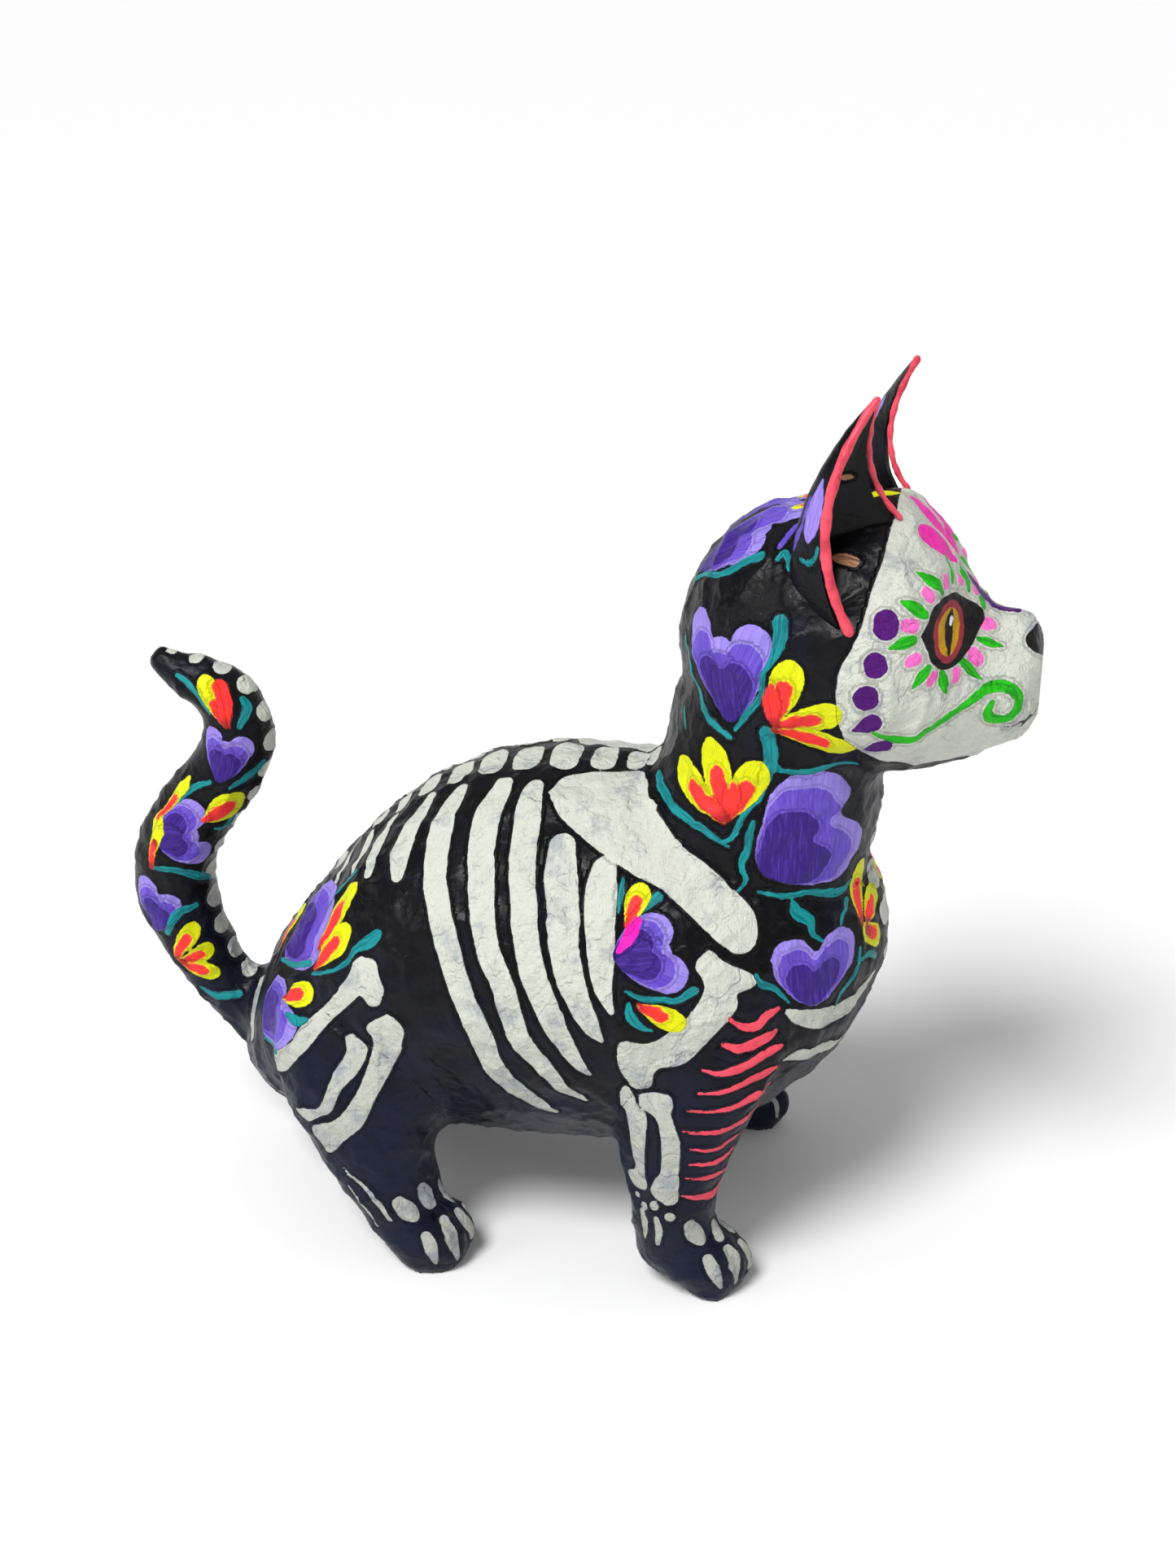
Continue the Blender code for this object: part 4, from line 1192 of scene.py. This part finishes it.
# %% Smooth the borders between parts
edges = np.empty(len(skin.data.edges) * 2, np.int32)
skin.data.edges.foreach_get("vertices", edges)
edges = edges.reshape(-1, 2)
share = np.eye(len(OWNERS))[owner]
links = np.bincount(edges.ravel(), minlength=len(points))[:, None] + 1
BORDER_ROUNDS = 24
for _ in range(BORDER_ROUNDS):
    total = share.copy()
    for part in range(len(OWNERS)):
        for here, there in ((0, 1), (1, 0)):
            there_share = share[edges[:, there], part]
            total[:, part] += np.bincount(edges[:, here], there_share, len(points))
    share = total / links
owner = share.argmax(axis=1)
quads = [tuple(p.vertices) for p in skin.data.polygons]
face_owner = np.array([np.bincount(owner[list(q)]).argmax() for q in quads])
print("faces for each part:", np.bincount(face_owner))


# %% Cut the skin into closed pieces
def turn_outwards(piece):
    """Recalculating normals can turn a whole piece inside out. Its volume shows that."""
    solid = bmesh.new()
    solid.from_mesh(piece.data)
    if solid.calc_volume(signed=True) < 0:
        bmesh.ops.reverse_faces(solid, faces=solid.faces)
        solid.to_mesh(piece.data)
        print(piece.name, "turned outwards")
    solid.free()


def cut_out(number, name):
    """A copy of the skin that keeps only the faces of one part, with its open edge filled."""
    piece = bpy.data.objects.new(name, skin.data.copy())
    piece.data.name = name
    bpy.context.scene.collection.objects.link(piece)
    mine = bmesh.new()
    mine.from_mesh(piece.data)
    mine.faces.ensure_lookup_table()
    others = [mine.faces[i] for i in np.flatnonzero(face_owner != number)]
    bmesh.ops.delete(mine, geom=others, context="FACES")
    mine.to_mesh(piece.data)
    mine.free()
    piece = outer_sheet(piece)
    piece.name = name
    fill = (bpy.ops.mesh.fill_holes, {"sides": 0})
    reshape_all(piece, fill, (bpy.ops.mesh.normals_make_consistent, {"inside": False}))
    turn_outwards(piece)
    bpy.ops.object.shade_smooth_by_angle(angle=math.radians(40))
    return piece


skins = {name: cut_out(number, name) for number, name in enumerate(OWNERS)}
bpy.data.objects.remove(skin)
for name, piece in skins.items():
    print(name, len(piece.data.polygons), "faces")

# %% [markdown]
# ## Ears
# Each ear is a sheet of card curled like a leaf and pasted over. A flat grid is added, and
# every point of it is moved to its place on the curl: three rulings, at the outer edge, the
# back and the inner edge, bend from the foot to a shared tip. Solidify gives the card its
# thickness, and a few lumps make it hand-pasted.

# %% The curl of an ear
SEAT, TIP, HEAD_MIDDLE = np.array((91.0, 31.0, 238.0)), np.array((6.0, -7.0, 50.0)), 210.5
OUTER = np.array(((3.5, 10.5, -14.0), (-15.5, 14.0, 19.0)))
BACK = np.array(((-15.0, -1.5, 1.5), (-14.0, 1.0, 27.0)))
INNER = np.array(((13.5, -17.0, 12.5), (-1.0, -13.5, 27.0)))
LEFT_BACK_SHIFT = np.array(((2.0, 0, 0), (10.0, 0, 0)))
LEFT_OUTER_SHIFT = np.array(((0, 0, 0), (9.5, -2.0, 0)))
LEAN_OF_LEFT = 7.5


def ear_point(across, up, side=1):
    """A place on an ear, as if it were the left one: across runs from outer to inner edge,
    up from foot to tip. The left ear leans a little further forward than the right one."""
    blend = ((1 - across) ** 2, 2 * across * (1 - across), across**2)
    left = side > 0
    back, outer = BACK + LEFT_BACK_SHIFT * left, OUTER + LEFT_OUTER_SHIFT * left
    middle = 2 * back - (outer + INNER) / 2
    foot, bend = outer * blend[0] + middle * blend[1] + INNER * blend[2]
    rise = max(up, 0.0)
    point = SEAT + foot * (1 - rise) ** 2 + bend * 2 * rise * (1 - rise) + TIP * rise**2
    inward = np.array((point[0], 0, HEAD_MIDDLE)) - point
    sunk = 3.5 * math.sin(math.pi * min(across * 1.6, 1.0)) * (1 - rise) ** 3 + 9 * max(-up, 0)
    point = point + inward / np.linalg.norm(inward) * sunk
    if left:
        point[0] += LEAN_OF_LEFT * rise**1.6
    return point


print("left ear from", np.round(ear_point(0, 0)), "to tip", np.round(ear_point(0, 1)))

# %% Make the sheets and their cord edges
CARD, CORD_RADIUS = 1.8, 1.55
# The sheet stops short of both cords and of the tip, and its foot is sunk in the head.
ACROSS_FROM, ACROSS_SPAN, UP_FROM, UP_SPAN = 0.035, 0.93, -0.75, 1.735


def ear_sheet(name, side):
    bpy.ops.mesh.primitive_grid_add(x_subdivisions=56, y_subdivisions=84, size=2)
    ear = bpy.context.object
    ear.name = ear.data.name = name
    grid = read(ear.data) * MM
    placed = []
    for u, v, _ in grid:
        across, up = ACROSS_FROM + ACROSS_SPAN * (u + 1) / 2, UP_FROM + UP_SPAN * (v + 1) / 2
        placed.append(ear_point(across, up, side) * (1, side, 1))
    write(ear.data, np.array(placed))
    outwards = (bpy.ops.mesh.normals_make_consistent, {"inside": False})
    reshape_all(ear, (bpy.ops.mesh.remove_doubles, WELD), outwards)
    apply_modifier(ear, "SOLIDIFY", thickness=CARD * MM, offset=0, use_even_offset=False)
    lump(ear, clouds(name + "_lumps", 7), 0.7)
    bpy.ops.object.shade_smooth_by_angle(angle=math.radians(40))
    return ear


def ear_cord(name, side):
    """The pink cord that runs up the outer edge, over the tip and down the inner edge."""
    route = [ear_point(0.0, v, side) for v in np.linspace(-0.02, 0.99, 26)]
    route += [ear_point(1.0, v, side) for v in np.linspace(0.985, -0.02, 24)]
    bpy.ops.curve.primitive_bezier_curve_add()
    cord = bpy.context.object
    cord.name = name
    cord.data.splines.clear()
    spline = cord.data.splines.new("POLY")
    spline.points.add(len(route) - 1)
    for number, (spot, place) in enumerate(zip(spline.points, route)):
        spot.co = (*(place * (1, side, 1) * MM), 1)
        spot.radius = 1.0 + 0.10 * math.sin(number * 1.7 + side) - 0.38 * smoothstep(16, 30, number)
        if number in (0, len(route) - 1):
            spot.radius = 0.7
    cord.data.bevel_depth = CORD_RADIUS * MM
    cord.data.bevel_resolution = 5
    cord.data.use_fill_caps = True
    pick(cord)
    bpy.ops.object.convert(target="MESH")
    cord = bpy.context.object
    cord = remesh(cord, 0.42)
    cord.name = cord.data.name = name
    soften(cord, 5)
    lump(cord, clouds(name + "_lumps", 3.5), 0.5)
    write(cord.data, inside_box(read(cord.data)))
    bpy.ops.object.shade_smooth_by_angle(angle=math.radians(60))
    return cord


SIDES = (("right", -1), ("left", 1))
ears = {hand: ear_sheet("ear_card_" + hand, side) for hand, side in SIDES}
cords = {hand: ear_cord("ear_cord_" + hand, side) for hand, side in SIDES}
for piece in (*ears.values(), *cords.values()):
    print(piece.name, len(piece.data.polygons), "faces, size", sides_of(read(piece.data)))

# %% [markdown]
# ## Paint on the ears
# Each ear carries a lavender petal with violet streaks, a teal curl and a loose tan stroke.
# The left one, which leans further forward, has one petal and one curl more.

# %% Ear strokes
for hand, side in SIDES:
    canvas = Canvas(ears[hand])
    turn = np.array((1, -side, 1, 1))
    for coat, *controls in (
        (
            "lavender", (84, -34, 266, 1.2), (82, -37, 260, 5), (81, -38, 254, 5.4),
            (79.5, -39.5, 250, 1.6),
        ),
        ("violet", (78, -35, 255, 1.4), (78.5, -35, 258, 1.4), (80, -34.5, 262, 0.8)),
        ("violet", (74, -34, 246, 1.6), (76, -35, 250, 2.2), (78, -36, 254, 1)),
        (
            "teal", (77, -38, 244, 1.4), (80, -40, 243.5, 2), (83, -40.5, 246, 1.6),
            (84, -40, 249, 1),
        ),
        ("tan", (89.5, -26, 264, 0.9), (91.5, -25.5, 263.6, 1.8), (93, -25, 263.4, 0.8)),
    ):
        canvas.stroke(coat, np.array(controls) * turn)
    if side > 0:
        for coat, places in (
            ("lavender", ((0.66, 0.34, 2), (0.66, 0.46, 5), (0.66, 0.58, 4.4), (0.66, 0.70, 1))),
            ("teal", ((0.62, 0.20, 1.4), (0.72, 0.26, 2.6), (0.86, 0.30, 2))),
        ):
            canvas.stroke(coat, [(*ear_point(across, up), width) for across, up, width in places])
    canvas.save()
    print(hand, "ear painted with", canvas.count, "strokes")

# %% [markdown]
# ## Varnished paint
# One material serves every painted piece. It starts from the black coat, lays each colour
# over it where its depth is more than zero, and lets a little noise move that edge, as a
# hand-held brush does. Bristle marks follow the strokes, thin paint shows grey, the bone gets
# painted shade towards the floor, and a coat of varnish gives a satin shine. Fine wrinkles of
# the paper come from bump.

# %% The paint chart
CHART = {
    "black": rgb(9, 9, 12), "navy": rgb(16, 21, 42), "bone": rgb(206, 209, 198),
    "bone_thin": rgb(128, 138, 158), "lavender": rgb(140, 120, 212),
    "lavender_light": rgb(156, 138, 224), "violet": rgb(92, 64, 186), "indigo": rgb(52, 26, 118),
    "teal": rgb(20, 142, 146), "teal_dark": rgb(14, 104, 112), "yellow": rgb(220, 224, 12),
    "amber": rgb(150, 160, 10), "red": rgb(250, 56, 38), "rose": rgb(236, 48, 84),
    "coral": rgb(232, 78, 96), "coral_dark": rgb(196, 56, 76), "magenta": rgb(250, 30, 178),
    "pink": rgb(255, 116, 204), "green": rgb(38, 196, 20), "green_dark": rgb(24, 150, 24),
    "aubergine": rgb(80, 12, 112), "ink": rgb(20, 18, 20), "crimson": rgb(158, 50, 62),
    "gold": rgb(200, 152, 24), "pupil": rgb(18, 16, 20), "glint": rgb(236, 240, 250),
    "tan": rgb(176, 124, 92),
}
STEADY = ("gold", "crimson", "pupil", "glint", "ink")
# The bristle marks of each coat: where they start and are full, how strong, and their colour.
STREAKS = {
    "lavender": (0.42, 0.62, 1, "lavender_light"),
    "violet": (0.35, 0.7, 0.35, "lavender"),
    "indigo": (0.45, 0.7, 0.5, "violet"),
    "teal": (0.4, 0.65, 1, "teal_dark"),
    "yellow": (0.56, 0.72, 0.8, "amber"),
    "red": (0.48, 0.62, 0.8, "rose"),
    "coral": (0.45, 0.7, 0.6, "coral_dark"),
    "magenta": (0.5, 0.7, 0.12, "pink"),
    "pink": (0.55, 0.75, 0.6, "magenta"),
    "green": (0.4, 0.65, 1, "green_dark"),
}


def varnished_paint():
    recipe = Recipe("varnished_paint")
    place = recipe.place()
    wobble = (recipe.noise(place, 420, 2) - 0.5) * 0.9 + (recipe.noise(place, 1500, 2) - 0.5) * 0.3
    brush = recipe.painted("brush", "Vector")
    bristles = recipe.noise(recipe.vector("MULTIPLY", brush, (1.5, 0.13, 1.0)), 1.0, 3, 0.6)
    fine_bristles = recipe.noise(recipe.vector("MULTIPLY", brush, (4.5, 0.3, 1.0)), 1.0, 2, 0.6)
    along = recipe.split(brush, "Y")
    smudge, speckle = recipe.noise(place, 55, 5, 0.62), recipe.noise(place, 260, 4, 0.6)
    blotches = recipe.noise(place, 95, 4, 0.62)
    depth, mask = {}, {}
    for coat in COATS:
        depth[coat] = recipe.painted("coat_" + coat, "Fac")
        mask[coat] = recipe.step(
            depth[coat] + wobble * (0.25 if coat in STEADY else 1.0), -0.10, 0.10,
        )
    low_down = 1 - recipe.step(recipe.split(place, "Z"), 0.03, 0.125)
    navy = recipe.step(smudge + low_down * 0.35, 0.45, 0.95)
    colour = recipe.mix(navy, CHART["black"], CHART["navy"])
    thin = recipe.step(blotches + low_down * 0.06 + (bristles - 0.5) * 0.22, 0.53, 0.72)
    # The bone is painted darker grey towards the floor: painted shade, as under a light from above.
    bone_with_painted_shade = recipe.mix(low_down * 0.62, CHART["bone"], rgb(150, 151, 144))
    shades = {"bone": recipe.mix(thin * 0.55, bone_with_painted_shade, CHART["bone_thin"])}
    for coat, (low, high, strength, streak) in STREAKS.items():
        marks = recipe.step(fine_bristles if coat in ("yellow", "red") else bristles, low, high)
        share = marks if strength == 1 else marks * strength
        shades[coat] = recipe.mix(share, CHART[coat], CHART[streak])
    root = (1 - recipe.step(along + fine_bristles * 5, 2.0, 7.5)) * 0.75
    shades["red"] = recipe.mix(root, shades["red"], rgb(120, 12, 16))
    for coat in COATS:
        cover = mask[coat]
        if coat == "red":
            cover = recipe.step(depth[coat] + wobble + (fine_bristles - 0.5) * 2.6, -0.25, 0.25)
        if coat == "tan":
            cover = cover * recipe.step(bristles, 0.3, 0.5)
        colour = recipe.mix(cover, colour, shades.get(coat, CHART[coat]))
    colour = recipe.mix(recipe.step(speckle, 0.66, 0.8) * 0.10, colour, CHART["black"])
    painted = recipe.step(depth["bone"], -0.1, 0.1)
    roughness = 0.34 + (smudge - 0.5) * 0.24 + (speckle - 0.5) * 0.14
    wrinkles = recipe.noise(place, 150, 6, 0.68)
    push = recipe.node("ShaderNodeTexNoise", None, {"Vector": place, "Scale": 90.0}, "Color")
    bent = recipe.vector("ADD", place, recipe.vector("SCALE", push, 0.012))
    cracks = {"feature": "DISTANCE_TO_EDGE"}
    ridges = recipe.node("ShaderNodeTexVoronoi", cracks, {"Vector": bent, "Scale": 95.0})
    crease = recipe.step(ridges, 0.0, 0.10)
    fold = recipe.noise(place, 60, 3, 0.55) - 0.5
    folds = (1 - recipe.step(fold * fold, 0.0, 0.0014)) * recipe.step(blotches, 0.44, 0.58)
    thick = ("lavender", "yellow", "teal", "coral", "green")
    edge_height = sum((mask[coat] for coat in thick), mask["bone"])
    height = wrinkles * (0.14 + painted * 0.75) + crease * (0.02 + painted * 0.06)
    height += folds * (0.03 + painted * 0.14) + (fine_bristles - 0.5) * 0.10 + edge_height * 0.12
    return recipe.finish(colour, roughness, recipe.bump(height, 0.0027, 1.0), IOR=1.26)


def coat_with(finish, meshes):
    for mesh in meshes:
        mesh.materials.clear()
        mesh.materials.append(finish)


paint_material = varnished_paint()
coat_with(paint_material, [piece.data for piece in (*skins.values(), *ears.values())])
print("varnished paint has", len(paint_material.node_tree.nodes), "nodes")

# %% [markdown]
# ## Cord, wire and paper inside
# The cord edge of the ears is thick coral paint over twisted cord. The wires, their binding
# and the paper bands are hidden inside the figure, but they get their own finishes too.


# %% Other finishes
def coral_cord():
    recipe = Recipe("coral_cord")
    place = recipe.place()
    patches, fine = recipe.noise(place, 160, 4), recipe.noise(place, 900, 3)
    colour = recipe.mix(recipe.step(patches, 0.42, 0.66), CHART["coral"], CHART["coral_dark"])
    colour = recipe.mix(recipe.step(fine, 0.66, 0.76) * 0.5, colour, CHART["black"])
    return recipe.finish(
        colour, 0.38 + (patches - 0.5) * 0.2, recipe.bump(patches + fine * 0.3, 0.0005, 0.6),
        IOR=1.34,
    )


def plain_finish(name, first, second, scale, rough, metal=0.0):
    recipe = Recipe(name)
    place = recipe.place()
    grain, fine = recipe.noise(place, scale, 4), recipe.noise(place, scale * 6, 2)
    colour = recipe.mix(recipe.step(grain, 0.35, 0.65), rgb(*first), rgb(*second))
    return recipe.finish(
        colour, rough + (fine - 0.5) * 0.15, recipe.bump(grain + fine * 0.4, 0.0004, 0.5),
        Metallic=metal,
    )


coat_with(coral_cord(), [piece.data for piece in cords.values()])
WIRE = plain_finish("drawn_wire", (150, 150, 152), (112, 110, 108), 500, 0.35, 1.0)
TWINE = plain_finish("twine", (186, 160, 120), (150, 122, 84), 700, 0.8)
PAPER = plain_finish("brown_paper", (168, 132, 92), (138, 104, 70), 220, 0.85)
for finish, nodes in (
    (WIRE, ("spine_wire", "front_leg_wire", "hind_leg_wire")),
    (TWINE, ("front_binding", "hind_binding")),
    (PAPER, ("body_seam_band", "head_seam_band")),
):
    coat_with(finish, [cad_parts[name].data for name in nodes])
print("finishes:", [material.name for material in bpy.data.materials])

# %% [markdown]
# ## Tell the frame what stands for what
# Every piece rides on the single body of the figure and stands for its imported parts, which
# are hidden.

# %% Ride and replace
for name, piece in skins.items():
    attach(piece, "root")
    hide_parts(*OWNERS[name])
    "white_paper" if name == "head_skin" else "black_paper"
for pieces, node, slot in ((ears, "ear_", "black_card"), (cords, "ear_rim_", "pink_cord")):
    for hand, piece in pieces.items():
        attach(piece, "root")
        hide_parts(node + hand)
bpy.context.view_layer.update()
